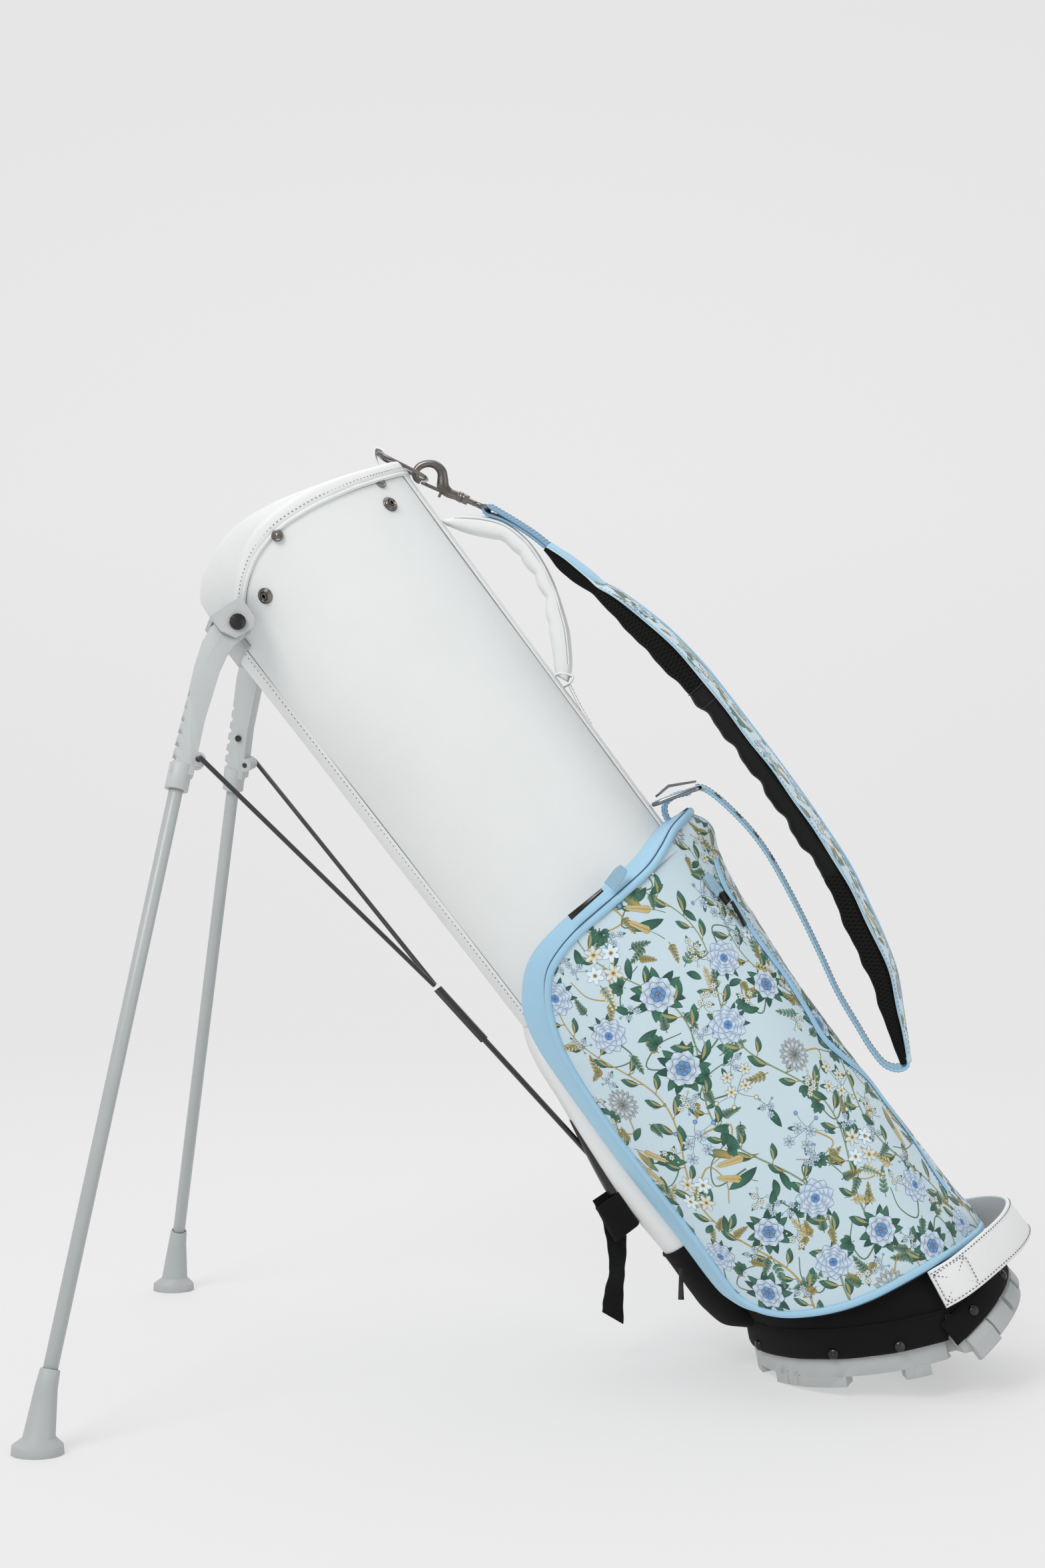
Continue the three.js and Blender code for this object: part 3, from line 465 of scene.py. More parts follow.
def painted(name, colour, rough=0.34):
    """Paint on tube: orange-peel ripples under a thin clear coat."""
    f = Finish(name)
    f.set(Base_Color=f.mix(f.remap(f.noise(20.0, 3.0), 0.35, 0.65), [c * 0.96 for c in colour], colour))
    f.set(Roughness=f.vary(160.0, 3.0, rough - 0.05, rough + 0.07))
    f.set(Coat_Weight=0.25, Coat_Roughness=0.2)
    f.bump(f.noise(750.0, 2.0), 0.02)
    return f.material


def worn_metal(name, colour, rough, scratch=0.012, tone=0.6):
    """Plated metal: polishing marks, cloudy tarnish and paler high spots."""
    f = Finish(name)
    marks = f.noise(260.0, 5.0, 0.65, f.scaled(f.place(), (1.0, 6.0, 1.0)))
    cloud = f.noise(55.0, 4.0)
    f.set(Base_Color=f.mix(f.remap(cloud, 0.35, 0.7), [c * tone for c in colour], colour))
    f.set(Metallic=1.0, Roughness=f.remap(marks, 0.3, 0.7, rough * 0.75, rough * 1.3))
    f.bump(marks, scratch)
    return f.material


WHITE = leather("white_leather", (0.80, 0.82, 0.823))
WHITE_TRIM = leather("white_trim_leather", (0.825, 0.84, 0.842), 0.07, 0.46)
THREAD = woven("white_thread", (0.62, 0.64, 0.645), 0.3, 0.05, 0.6)
GREY_THREAD = woven("grey_thread", (0.12, 0.13, 0.135), 0.3, 0.05, 0.6)
# seam_shadow: grey-blue cloth laid as thin cords in seams and under edges, as painted shade
SEAM_SHADE = woven("seam_shadow", (0.28, 0.33, 0.35), 0.3, 0.02, 0.8)
# blue_seam_shadow: dark blue laid in the pocket's and the zip's creases and gaps, as painted shade
BLUE_SHADE = woven("blue_seam_shadow", (0.045, 0.12, 0.22), 0.3, 0.02, 0.8)
BLUE = coated_cloth("blue_trim", (0.355, 0.60, 0.775), 0.02, 0.4)
BLUE_WEB = woven("blue_webbing", (0.30, 0.53, 0.72), 0.8, 0.12, 0.55)
BLUE_TAPE = woven("blue_ribbed_tape", (0.42, 0.68, 0.86), 1.6, 0.3, 0.6)
BLUE_THREAD = woven("blue_thread", (0.20, 0.40, 0.62), 0.3, 0.05, 0.6)
GROUND = (0.595, 0.735, 0.80)
FLORAL = coated_cloth("pocket_cloth", GROUND)
PRINT = coated_cloth("flower_print", GROUND, tinted=True)
BLACK_SATIN = woven("black_satin", (0.007, 0.007, 0.0075), 0.35, 0.05, 0.5, 0.03)
BLACK_CANVAS = woven("black_canvas", (0.0045, 0.0045, 0.0048), 0.7, 0.14, 0.8, 0.02)
BLACK_WEB = woven("black_webbing", (0.006, 0.006, 0.0062), 1.1, 0.3, 0.8, 0.03)
BLACK_MESH = spacer_mesh("black_mesh", (0.009, 0.010, 0.008))
BLACK_THREAD = woven("black_thread", (0.03, 0.03, 0.03), 0.3, 0.05, 0.6)
LINING = woven("grey_lining", (0.10, 0.105, 0.11), 0.6, 0.1, 0.85)
GREY = moulded("grey_plastic", (0.53, 0.555, 0.565))
DEEP_GREY = moulded("deep_grey_plastic", (0.455, 0.475, 0.48))
BLACK_PLASTIC = moulded("black_plastic", (0.018, 0.018, 0.019), 0.4)
GREY_PAINT = painted("grey_paint", (0.44, 0.46, 0.465))
BLACK_PAINT = painted("black_paint", (0.022, 0.022, 0.023), 0.3)
GUNMETAL = worn_metal("gunmetal", (0.27, 0.25, 0.235), 0.24, 0.004)
DARK_METAL = worn_metal("dark_metal", (0.07, 0.068, 0.066), 0.28)
# chrome's colour is set well below bright plated metal: a painted reflection of dark surroundings
CHROME = worn_metal("chrome", (0.30, 0.31, 0.33), 0.1, 0.003, 0.85)
STEEL = worn_metal("plain_steel", (0.45, 0.46, 0.48), 0.35)


# ---- stitching, piping and rivets ----
def stitches(shape, path, normals, pitch, length, radius):
    """A row of sewn stitches: short rounded thread ends that dive into the cloth."""
    s = distance(path)
    at = np.arange(pitch / 2, s[-1] - length / 2, pitch)
    centre = read_at(at, s, path)
    along = unit(read_at(at, s, tangents(path)))
    up = unit(read_at(at, s, normals))
    side = np.cross(up, along)
    a = turns(6)
    rows = []
    for u, w, h in (
        (-0.5, 0.35, -0.5), (-0.3, 0.9, 0.25), (0.0, 1.0, 0.55), (0.3, 0.9, 0.25), (0.5, 0.35, -0.5),
    ):
        middle = centre + along * u * length + up * (0.1 + h * radius)
        across = side[:, None] * (np.cos(a) * w * radius)[:, None]
        rise = up[:, None] * (np.sin(a) * w * radius)[:, None]
        rows.append(middle[:, None] + (across + rise))
    for one in np.stack(rows, 1):
        shape.grid(one, wrap_v=True, caps=True)


def cord(shape, path, radius, closed=False, slot=0, sides=10, flat=1.0, up=(0, 1, 0), side=None):
    """A round cord along a path; a closed one joins its own start."""
    p = sweep(path, ring(radius, sides, flat), closed, up, side)
    return shape.grid(p, wrap_u=closed, wrap_v=True, slot=slot, caps=not closed)


def bar(shape, path, width, height, corner, side, count=4, closed=False):
    """A band or bar of rounded rectangular section along a path."""
    p = sweep(path, rounded(width, height, corner, count), closed, side=side)
    return shape.grid(p, wrap_u=closed, wrap_v=True, caps=not closed)


def turned(shape, centre, axis, profile, count=28):
    """A turned part: profile points are (radius, height along the axis)."""
    axis = unit(np.array(axis, float))
    a = np.array((0.0, 0.0, 1.0))
    a = a if abs(np.dot(a, axis)) < 0.9 else np.array((1.0, 0.0, 0.0))
    a = unit(a - axis * np.dot(a, axis))
    b = np.cross(axis, a)
    t = turns(count)[:, None]
    rows = [np.array(centre) + axis * h + r * (a * np.cos(t) + b * np.sin(t)) for r, h in profile]
    return shape.grid(np.array(rows), wrap_v=True, caps=True)


CAP_RIVET = [
    (0.2, 1.5), (2.6, 1.4), (3.4, 1.15), (3.5, 1.5), (4.2, 1.7), (4.9, 1.3), (5.1, 0.5), (5.0, -0.4),
]
SNAP_STUD = [
    (1.5, 1.2), (1.7, 3.2), (2.3, 3.5), (2.7, 2.9), (2.6, 1.6), (3.6, 1.4), (4.0, 2.6), (4.6, 3.0),
    (5.1, 2.4), (5.2, 1.1), (6.2, 1.2), (6.9, 0.8), (7.0, 0.0), (6.9, -0.5),
]


def on_wall(angle, z, lift=0.0):
    return polar(tube_radius(z) + lift, angle, z)


def wall_normal(angle):
    return polar(1.0, angle, 0.0)


# ---- tube, rim and collar ----
band_low = smooth([[0, 884], [34, 884.5], [57, 890], [80, 895.5], [93, 896.5], [101, 894.5], [109, 890.5],
                   [117, 883.5], [123, 877], [129, 869], [134, 863], [141, 856]])
band_top = smooth([[0, 898], [22, 896.5], [45, 899.5], [60, 904.5], [75, 909], [90, 910.5], [98, 909.5],
                   [107, 905.5], [115, 898], [123, 888.5], [130, 879], [137, 871.5], [141, 867]])
collar_top = smooth([[0, 898], [45, 902], [70, 911], [90, 919], [108, 923], [125, 921], [142, 915],
                     [160, 908], [180, 906]])


def ripple(angle, z, amount):
    """Slow waves of a skin laid over foam, up to `amount` high."""
    a = np.radians(angle)
    wave = np.sin(3 * a + z / 170.0 * 2.1 + 0.6) * np.sin(z / 170.0 * 1.7 + a)
    return amount * (wave + 0.45 * np.sin(5 * a - z / 61.0) * np.sin(z / 97.0 + 2 * a))


def build_tube():
    angles = np.linspace(0, 360, 180, endpoint=False)
    folded = np.minimum(angles, 360 - angles)
    top = np.where(folded < 140, band_low(folded) + 4, 858)
    share = np.linspace(0, 1, 110)[:, None]
    x = BASE_R * np.cos(np.radians(angles))
    low = np.where(x < BASE_CUT, 50.0 + (BASE_CUT - x) * BASE_CUT_SLOPE, 14.0)
    z = low[None] + (top - low)[None] * share
    free = fade(z, 500, 580) * np.clip((top - z) / 60, 0, 1)
    r = tube_radius(z) + ripple(angles[None], z, 0.55) * free
    s = Shape().grid(polar(r, angles[None], z), wrap_v=True)
    inner = polar(r[::-1] - 2.2, angles[None], z[::-1])
    s.grid(inner, wrap_v=True, slot=1)
    return s.build("tube_skin", [WHITE, LINING], "bag", "white_leather", ["bag_tube"])


def build_seams():
    """The raised spine strip with its cords, and the belly panel lapped over the side panels; thin dark cords
    along their seams are painted shade.
    """
    z = np.linspace(478, 886, 120)
    strip_angles = np.linspace(-SPINE_EDGE, SPINE_EDGE, 15)
    s = Shape()
    rise = 1.5 * np.clip((SPINE_EDGE - np.abs(strip_angles)) / 1.2, 0, 1) ** 0.5
    s.grid(polar(tube_radius(z)[:, None] + 0.25 + rise, strip_angles[None], z[:, None]))
    for sign in (-1, 1):
        edge = sign * (SPINE_EDGE + 0.4)
        wander = 0.05 * np.sin(z / 37.0)
        cord(s, on_wall(edge + wander, z, 0.9), 1.15, slot=0)
        # a thin dark cord beside each raised cord: painted shade in the seam
        cord(s, on_wall(edge + sign * 0.85 + wander, z, 0.12), 0.3, slot=1, sides=6)
    s.build("spine_strip", [WHITE_TRIM, SEAM_SHADE], "bag", "white_leather")

    low = np.linspace(430, 852, 130)
    s = Shape()
    for sign in (-1, 1):
        angles = np.linspace(BELLY_EDGE, 181.0, 22)
        inside = angles - BELLY_EDGE
        rise = 1.3 * np.clip(inside / 0.9, 0, 1) ** 0.5 + 0.5 * np.sin(np.radians(inside * 6))
        bulge = 0.4 * np.sin(low / 43.0)[:, None] * np.clip(inside / 8, 0, 1)[None]
        reach = tube_radius(low)[:, None] + 0.25 + rise[None] + bulge
        s.grid(polar(reach, sign * angles[None], low[:, None]))
        # a thin dark cord along the panel's lapped edge: painted shade under it
        cord(s, on_wall(sign * (BELLY_EDGE - 0.4), low, 0.1), 0.28, slot=1, sides=6)
    s.build("belly_panel", [WHITE_TRIM, SEAM_SHADE], "bag", "white_leather")
    s = Shape()
    for sign in (-1, 1):
        angles = np.full(len(low), sign * (BELLY_EDGE + 2.2))
        stitches(s, on_wall(angles, low, 1.65), wall_normal(angles), 4.4, 1.6, 0.34)
    curve = np.array([(134, 868), (138.5, 862), (141.5, 855), (146.0, 851), (150.5, 850)])
    for sign in (-1, 1):
        angle, z = spline(curve, 40).T
        stitches(s, on_wall(sign * angle, z, 0.2), wall_normal(sign * angle), 3.8, 1.8, 0.3)
    s.build("belly_stitches", GREY_THREAD, "bag", "white_leather")


def build_rim():
    angles = np.linspace(-RIM_END, RIM_END, 190)
    low, top = band_low(np.abs(angles)), band_top(np.abs(angles))
    r = tube_radius(850.0)
    height = top - low
    profile = [(0.6, 0.0), (2.0, 0.02), (3.4, 0.14), (3.9, 0.4), (3.9, 0.7), (3.2, 0.9), (1.6, 1.0),
               (-0.6, 1.02), (-2.6, 0.94), (-3.4, 0.8), (-3.4, 0.2), (-2.2, 0.04)]
    soft = 0.35 * np.sin(angles / 7.3) + 0.2 * np.sin(angles / 3.1)
    rows = [polar(r + dr + (soft if dr > 1 else 0), angles, low + share * height) for dr, share in profile]
    s = Shape().grid(np.stack(rows, 1), wrap_v=True, caps=True)
    cord(s, polar(r + 1.7, angles, low - 0.4), 1.9, slot=0)
    # a thin dark cord under the binding's lower edge: painted shade
    cord(s, polar(r + 0.25, angles, low - 2.35), 0.3, slot=1, sides=6)
    s.build("rim_binding", [WHITE_TRIM, SEAM_SHADE], "bag", "white_leather", ["rim_band"])
    s = Shape()
    path = polar(r + 3.75, angles, low + 4.6)
    stitches(s, path, wall_normal(angles), 3.9, 1.5, 0.33)
    s.build("rim_stitches", GREY_THREAD, "bag", "white_leather")

    angles = np.linspace(0, 360, 180, endpoint=False)
    folded = np.minimum(angles, 360 - angles)
    top = collar_top(folded)
    front = np.clip((folded - 55) / 50, 0, 1)
    bottom = np.where(folded < 140, 838, 872)
    out = 105.4 + 1.9 * front
    section = [(97, 838, 0), (out, 0, 0), (out, 0, 0.35), (out + 0.4 * front, 0, 0.6), (out - 0.4, 0, 0.85),
               (out - 2.2, 0, 0.96), (out - 4.6, 0, 1.0), (98.6, 0, 0.985), (97.2, 0, 0.93), (97.0, 0, 0.8)]
    rows = []
    for radius, fixed, share in section:
        z = np.full(len(angles), float(fixed)) if fixed else bottom + (top - bottom) * share
        rows.append(polar(radius + 0 * angles, angles, z))
    s = Shape().grid(np.stack(rows, 1), wrap_u=True, wrap_v=True)
    outward(s.build("collar_skin", WHITE, "bag", "white_leather", ["top_collar"]))


def build_rivets():
    """Cap rivets and snap studs of the rain hood, at the same places on both sides."""
    s = Shape()
    for sign in (-1, 1):
        for angle, z, lift, profile in (
            (37.6, 881.8, 0.4, CAP_RIVET), (95.4, 892.0, 2.2, CAP_RIVET), (132.4, 857.7, 0.4, CAP_RIVET),
            (41.3, 861.4, 0.4, SNAP_STUD), (117.4, 859.8, 0.4, SNAP_STUD),
        ):
            turned(s, on_wall(sign * angle, z, lift), wall_normal(sign * angle), profile)
    s.build("rim_rivets", GUNMETAL, "bag", "gunmetal")


build_tube()
build_seams()
build_rim()
build_rivets()


# ---- the front pocket ----
def skirt_radius(z):
    """The cloth sleeve's radius over the base."""
    return 110.4 - (np.asarray(z, float) - 4.4) * 0.0644


# Its floral face is a height field over (angle, z). These are half of the face's outline and half of the
# line where the gusset meets the wall, each from the spine at the top round to the spine at the foot.
FACE_EDGE = [
    (0, 491), (16, 490), (28, 488), (40, 482), (53, 476), (69.5, 473.5), (83, 472), (94.4, 470),
    (105, 465), (113.5, 457.5), (121, 443), (127.5, 422), (133, 397), (136.8, 365), (138.3, 330),
    (138.5, 270), (138.8, 205), (140.3, 160), (140.3, 141), (135.5, 126), (126, 113), (114, 102),
    (101, 92), (89, 85), (75, 79), (59, 72), (39, 62), (18, 53), (0, 48),
]
SEAM_EDGE = [
    (0, 499), (18, 499), (34, 497), (50, 492.5), (70, 490), (90, 488.5), (105, 486), (120, 480),
    (134, 468), (146, 449), (155.5, 418), (160, 380), (161.5, 330), (162, 270), (162.5, 210),
    (163, 165), (161, 146), (152, 131), (139, 119), (123, 107), (107, 95), (91, 86), (75, 79),
    (58, 71.5), (39, 63), (19, 53.5), (0, 49),
]


def wall_spline(points, count):
    """A smooth path of evenly spaced (angle, z) pairs."""
    scale = np.array((MM_PER_DEGREE, 1.0))
    return spline(np.array(points, float) * scale, count) / scale


def edge_loop(points, count):
    """A closed loop of `count` (angle, z) pairs through the given half outline and its mirror image."""
    path = wall_spline(points, count // 2 + 1)
    other = path[1:-1][::-1] * (-1, 1)
    return np.vstack([path, other])


puff_height = smooth([[40, 15.5], [70, 17], [110, 18.5], [200, 21], [300, 21.5], [380, 20], [430, 18.5],
                      [470, 17.5], [500, 17]])
spine_rise = smooth([[40, 13], [55, 19], [80, 17.5], [146, 16.5], [262, 14], [318, 13.5], [376, 17],
                     [418, 20], [448, 26], [476, 34], [490, 27]])


def face_height(angle, z):
    """How far the pocket's face stands off the tube's wall."""
    a = np.abs(angle)
    belly = 1.0 - fade(a, 95, 140) ** 2
    near_spine = np.exp(-((a / 17.0) ** 2))
    side = puff_height(z) * (0.8 + 0.2 * belly)
    full = side * (1 - near_spine) + spine_rise(z) * near_spine
    fold = 1.2 * np.sin(z / 29.0 + a / 17.0) * np.exp(-(((a - 34) / 18.0) ** 2)) * fade(z, 420, 270)
    slack = 0.9 * np.sin(z / 61.0 + a / 31.0 + 1.0) + 0.5 * np.sin(z / 23.0 - a / 13.0) * fade(a, 60, 100)
    pull = 1.4 * np.exp(-((a - 12) / 5.0) ** 2) * fade(z, 440, 380) * fade(z, 60, 100)
    return full + fold + slack * 0.8 - pull


def on_face(angle, z, lift=0.0):
    return polar(tube_radius(z) + face_height(angle, z) + lift, angle, z)


def face_normal(angle, z):
    du = on_face(angle + 0.4, z) - on_face(angle - 0.4, z)
    dv = on_face(angle, z + 0.8) - on_face(angle, z - 0.8)
    n = unit(np.cross(dv, du))
    out = polar(1.0, angle, np.zeros(np.shape(angle)))
    out[..., 2] = 0
    return n * np.sign(np.sum(n * out, -1, keepdims=True))


def build_pocket():
    count = 420
    edge = edge_loop(FACE_EDGE, count)
    seam = edge_loop(SEAM_EDGE, count)
    # the face: rows across it at each height, from its edge on the far side to its edge on the near side
    zs = np.concatenate([np.linspace(49.5, 60, 8), np.linspace(63, 478, 150), np.linspace(480, 490, 6)])
    right = edge[: count // 2 + 1]
    steps = [np.linspace(0, 0.14, 12), np.linspace(0.155, 0.97, 74), np.linspace(0.975, 1.0, 6)]
    steps = np.concatenate(steps)
    steps = np.concatenate([-steps[:0:-1], steps])
    grid = []
    for z in zs:
        inside = right[:, 1] - z
        reach = [1.0] if np.all(inside < 0) or np.all(inside > 0) else []
        for i in np.where(np.sign(inside[:-1]) != np.sign(inside[1:]))[0]:
            t = inside[i] / (inside[i] - inside[i + 1])
            reach.append(right[i, 0] + t * (right[i + 1, 0] - right[i, 0]))
        grid.append([(a, z) for a in max(reach) * steps])
    grid = np.array(grid)
    sink = np.where(np.abs(steps) >= 0.999, 1.6, 0.0)
    s = Shape().grid(on_face(grid[..., 0], grid[..., 1], -sink[None]))
    outward(s.build("pocket_face", FLORAL, "bag", "floral_cloth", ["main_pocket"]))

    # piping round the face, a dark cord in its crease as painted shade, and the blue gusset that falls back
    # to the wall
    at = on_face(edge[:, 0], edge[:, 1], 0.4)
    normal = face_normal(edge[:, 0], edge[:, 1])
    along = tangents(at, closed=True)
    out = unit(np.cross(along, normal))
    piping = cord(Shape(), at + out * 1.5, 3.3, True, 0, 12, 0.85, side=out)
    piping.build("pocket_piping", BLUE, "bag", "blue_trim")
    shade_line = cord(Shape(), at + out * 5.1 - normal * 0.9, 0.75, True, 0, 6, side=out)
    shade_line.build("pocket_crease_shadow", BLUE_SHADE, "bag", "blue_trim")

    near_foot = fade(seam[:, 1], 122, 114)
    seam_lift = 0.2 + near_foot * (skirt_radius(seam[:, 1]) + 1.6 - tube_radius(seam[:, 1]))
    seam_at = on_wall(seam[:, 0], seam[:, 1], seam_lift)
    belly = fade(np.abs(seam[:, 0]), 118, 144)
    start = at + out * 4.2 - normal * 1.0
    rows = []
    wave = np.sin(np.arange(count) * 0.19) * 0.5 + np.sin(np.arange(count) * 0.073 + 1) * 0.7
    for t in np.linspace(0, 1, 18):
        flat = start * (1 - t) + seam_at * t
        radial = flat * (1, 1, 0)
        r = np.linalg.norm(radial, axis=1)
        start_r = np.linalg.norm(start[:, :2], axis=1)
        wall_r = tube_radius(flat[:, 2]) + (seam_lift - 0.2) * t
        # on the belly side the gusset keeps its height and then turns down to the wall
        hold = start_r - 0.6 - 2.0 * t - (start_r - 2.6 - wall_r) * fade(t, 0.72, 1.0) ** 1.6
        bulge = np.maximum(r, wall_r + 0.2) + 2.6 * np.sin(math.pi * min(1.0, t * 1.02)) * (1 - belly)
        new_r = bulge * (1 - belly) + hold * belly + wave * math.sin(math.pi * t) * 0.5
        rows.append(flat * (0, 0, 1) + radial / r[:, None] * np.maximum(new_r, wall_r + 0.1)[:, None])
    Shape().grid(np.array(rows), wrap_v=True).build("pocket_gusset", BLUE, "bag", "blue_trim")
    cord(Shape(), seam_at, 1.3, True, 0, 8, 0.8).build("pocket_seam_binding", BLUE, "bag", "blue_trim")
    # a flattened dark cord along the gusset's seam on the wall: painted shade under the gusset
    shade_line = cord(Shape(), on_wall(seam[:, 0], seam[:, 1], seam_lift - 0.3), 2.1, True, 0, 6, 0.35)
    shade_line.build("pocket_wall_shadow", BLUE_SHADE, "bag", "blue_trim")


# ---- the main zip under its welt ----
ZIP_LINE = [(15, 447), (22.5, 425), (25.5, 405), (28, 382), (29, 360), (29, 332), (31, 300), (33, 270),
            (28, 243), (21, 215), (20.5, 188), (17, 150), (19, 118), (20, 96)]


def build_zip():
    for sign, label in ((-1, "left"), (1, "right")):
        path = wall_spline(ZIP_LINE, 190)
        angle, z = sign * path[:, 0], path[:, 1]
        base = on_face(angle, z)
        normal = face_normal(angle, z)
        along = unit(np.gradient(base, axis=0))
        across = unit(np.cross(normal, along)) * (1 if sign > 0 else -1)
        if np.mean(np.sum(across * polar(1.0, angle + sign * 90, 0 * z), -1)) < 0:
            across = -across

        def strip(offset, lift, width, height):
            section = rounded(width, height, min(width, height) / 2 - 0.02, 4)
            return sweep(base + across * offset + normal * lift, section, side=across)

        s = Shape().grid(strip(-2.2, 0.9, 5.4, 2.0), wrap_v=True, caps=True)
        # a thin dark cord beside the welt: painted shade
        shade_line = base - across * 5.6 + normal * 0.3
        s.grid(sweep(shade_line, ring(0.45, 6), side=across), wrap_v=True, slot=1)
        s.grid(strip(1.7, 0.75, 1.7, 1.7), wrap_v=True, caps=True)
        s.build(f"zip_welt_{label}", [BLUE, BLUE_SHADE], "bag", "blue_trim")
        # a dark strip in the gap between the welts: painted shade in the gap
        s = Shape().grid(strip(0.5, 0.1, 4.4, 0.9), wrap_v=True, caps=True)
        s.build(f"zip_slot_{label}", BLUE_SHADE, "bag", "blue_trim")
        s = Shape()
        for offset in (-8.2, 5.2):
            stitches(s, base + across * offset + normal * 0.05, normal, 4.0, 2.5, 0.33)
        s.build(f"zip_stitches_{label}", BLUE_THREAD, "bag", "blue_trim")


build_pocket()
build_zip()


# ---- the shoulder strap ----
STRAP_LINE = [
    (170.5, 757), (176.5, 726), (186, 694), (196, 647), (201, 612), (205, 575), (206.5, 540), (206.5, 482),
    (204, 416), (201, 372), (192, 331), (185, 299), (178, 272), (165, 242), (156, 220), (148, 200),
]
STRAP_TILT = math.radians(12.5)  # how far the strap's face is turned to the near side
PAD_POWERS = (0.42, 0.62)
strap_width = smooth([[196, 15], [215, 22], [235, 33], [262, 45], [295, 50], [640, 50], [688, 46],
                      [702, 38], [725, 33], [760, 24]])
strap_depth = smooth([[196, 8], [215, 11], [235, 15], [262, 19], [300, 22.5], [350, 21.5], [376, 19.5],
                      [420, 19.5], [560, 19.5], [585, 22], [635, 22.5], [665, 18], [688, 13.5],
                      [701, 9.5], [712, 12.5], [735, 12.5], [752, 7.5], [760, 5.0]])


def strap_frame(points, count):
    """Path, width direction and face direction of a band along a line in the plane of symmetry."""
    line = middle_line(points, count)
    t = tangents(line)
    away = unit(np.cross(t, (0, 1, 0)))
    away = away * np.sign(away[:, :1] + 1e-9) if np.mean(away[:, 0]) > 0 else -away
    near = np.array((0.0, -1.0, 0.0))
    c, sn = math.cos(STRAP_TILT), math.sin(STRAP_TILT)
    return line, near * c - away * sn, away * c + near * sn


STRAP = strap_frame(STRAP_LINE, 260)
STRAP_LENGTH = distance(STRAP[0])[-1]


def on_strap(along, across, lift=0.0):
    """A point of the strap's flowered face, in millimetres down it and across it to the near edge."""
    along, across = np.broadcast_arrays(np.asarray(along, float), np.asarray(across, float))
    centre, side, face = [read_at(along, distance(STRAP[0]), rows) for rows in STRAP]
    z = centre[..., 2]
    half = strap_width(z) / 2
    share = np.clip(across / half, -1, 1)
    crown = strap_depth(z) / 2 + 1.5 * (1 - share ** 2) - 1.3 * np.abs(share) ** 8
    pucker = 0.45 * np.sin(along / 10.5) * np.abs(share) ** 3 + 0.5 * np.sin(along / 37.0)
    height = crown + pucker + lift
    return centre + side * (share * half)[..., None] + face * height[..., None]


def build_strap():
    count = 230
    along = np.linspace(0, STRAP_LENGTH, count)
    share = np.concatenate([[-1.0, -0.985, -0.95], np.linspace(-0.88, 0.88, 15), [0.95, 0.985, 1.0]])
    line, side, up = [read_at(along, np.linspace(0, STRAP_LENGTH, len(STRAP[0])), rows) for rows in STRAP]
    half = strap_width(line[:, 2]) / 2
    face = on_strap(along[:, None], share[None] * half[:, None])
    s = Shape().grid(face)
    thicken(outward(s.build("strap_face", FLORAL, "strap", "floral_cloth", ["strap_pad"])), 0.8)

    # the dark padding under it, pinched where its panels are sewn together
    z = line[:, 2]
    depth = strap_depth(z)
    lumps = 1.5 * np.sin(z / 6.4 + 0.8 * np.sin(z / 41.0)) + 0.7 * np.sin(z / 3.1 + 2)
    sag = lumps * np.clip(depth / 20, 0, 1) ** 2 * np.where((z > 376) & (z < 575), 1.0, 0.45)

    def padding(name, material, top, bottom, grow):
        pick = np.where((z <= top) & (z >= bottom))[0]
        ends = np.minimum(pick - pick[0], pick[-1] - pick)
        swell = grow * np.clip(ends / 2.0, 0, 1) ** 0.5
        rows = []
        for angle in turns(40):
            c, q = squared(angle, *PAD_POWERS)
            wide = (half[pick] - 0.7 + swell) * c
            hang = sag[pick] * min(1.0, -1.6 * q) if q < 0 else 0.0
            deep = (depth[pick] / 2 - 0.5 + swell) * q - 0.6 - hang
            rows.append(line[pick] + side[pick] * wide[:, None] + up[pick] * deep[:, None])
        shape = Shape().grid(np.stack(rows, 1), wrap_v=True, caps=True)
        return outward(shape.build(name, material, "strap", "black_cloth"))

    padding("strap_padding_low", BLACK_MESH, 376, 199, 0.0)
    padding("strap_padding_sleeve", BLACK_SATIN, 577, 371, 0.7)
    padding("strap_padding_high", BLACK_MESH, 701, 572, 0.2)
    padding("strap_padding_end", BLACK_CANVAS, 758, 697, 0.0)
    s = Shape()
    for at in (577, 560):
        i = int(np.argmin(np.abs(z - at)))
        loop = []
        for angle in turns(48):
            c, q = squared(angle, *PAD_POWERS)
            loop.append(line[i] + side[i] * (half[i] + 0.35) * c + up[i] * ((depth[i] / 2 + 0.3) * q - 0.6))
        cord(s, np.array(loop), 0.45, True, 0, 6, up=(0, 0, 1))
    s.build("strap_sleeve_seams", BLACK_THREAD, "strap", "black_cloth")

    # blue cord along both edges of the face, the plain blue tongue at its head, and its stitching
    pick = np.where((z < 700) & (z > 205))[0]
    s = Shape()
    for sign in (-1, 1):
        edge = line[pick] + side[pick] * (sign * (half[pick] - 0.2))[:, None]
        edge = edge + up[pick] * (depth[pick] / 2 - 0.4)[:, None]
        cord(s, edge, 1.7 if sign < 0 else 0.55, side=side[pick])
    cord(s, edge, 0.3, sides=6, side=side[pick])
    s.build("strap_piping", BLUE, "strap", "blue_trim")
    s = Shape()
    a = along[pick]
    for sign, inset in ((-1, 4.0), (1, 2.6)):
        path = on_strap(a, sign * (half[pick] - inset))
        stitches(s, path, up[pick], 4.0, 2.5, 0.3)
    s.build("strap_stitches", BLUE_THREAD, "strap", "blue_trim")
    head = np.linspace(0, 62, 50)
    tongue = np.sqrt(np.clip(1 - np.clip((head - 44) / 18, 0, 1) ** 2, 0.0, 1)) * 0.94 + 0.02
    half_head = np.interp(head, along, half)
    share = np.linspace(-1, 1, 13)
    across = share[None] * (half_head * tongue)[:, None]
    s = Shape().grid(on_strap(head[:, None], across, 1.1 - 0.9 * share[None] ** 8))
    thicken(outward(s.build("strap_tongue", BLUE, "strap", "blue_trim")), 0.9)


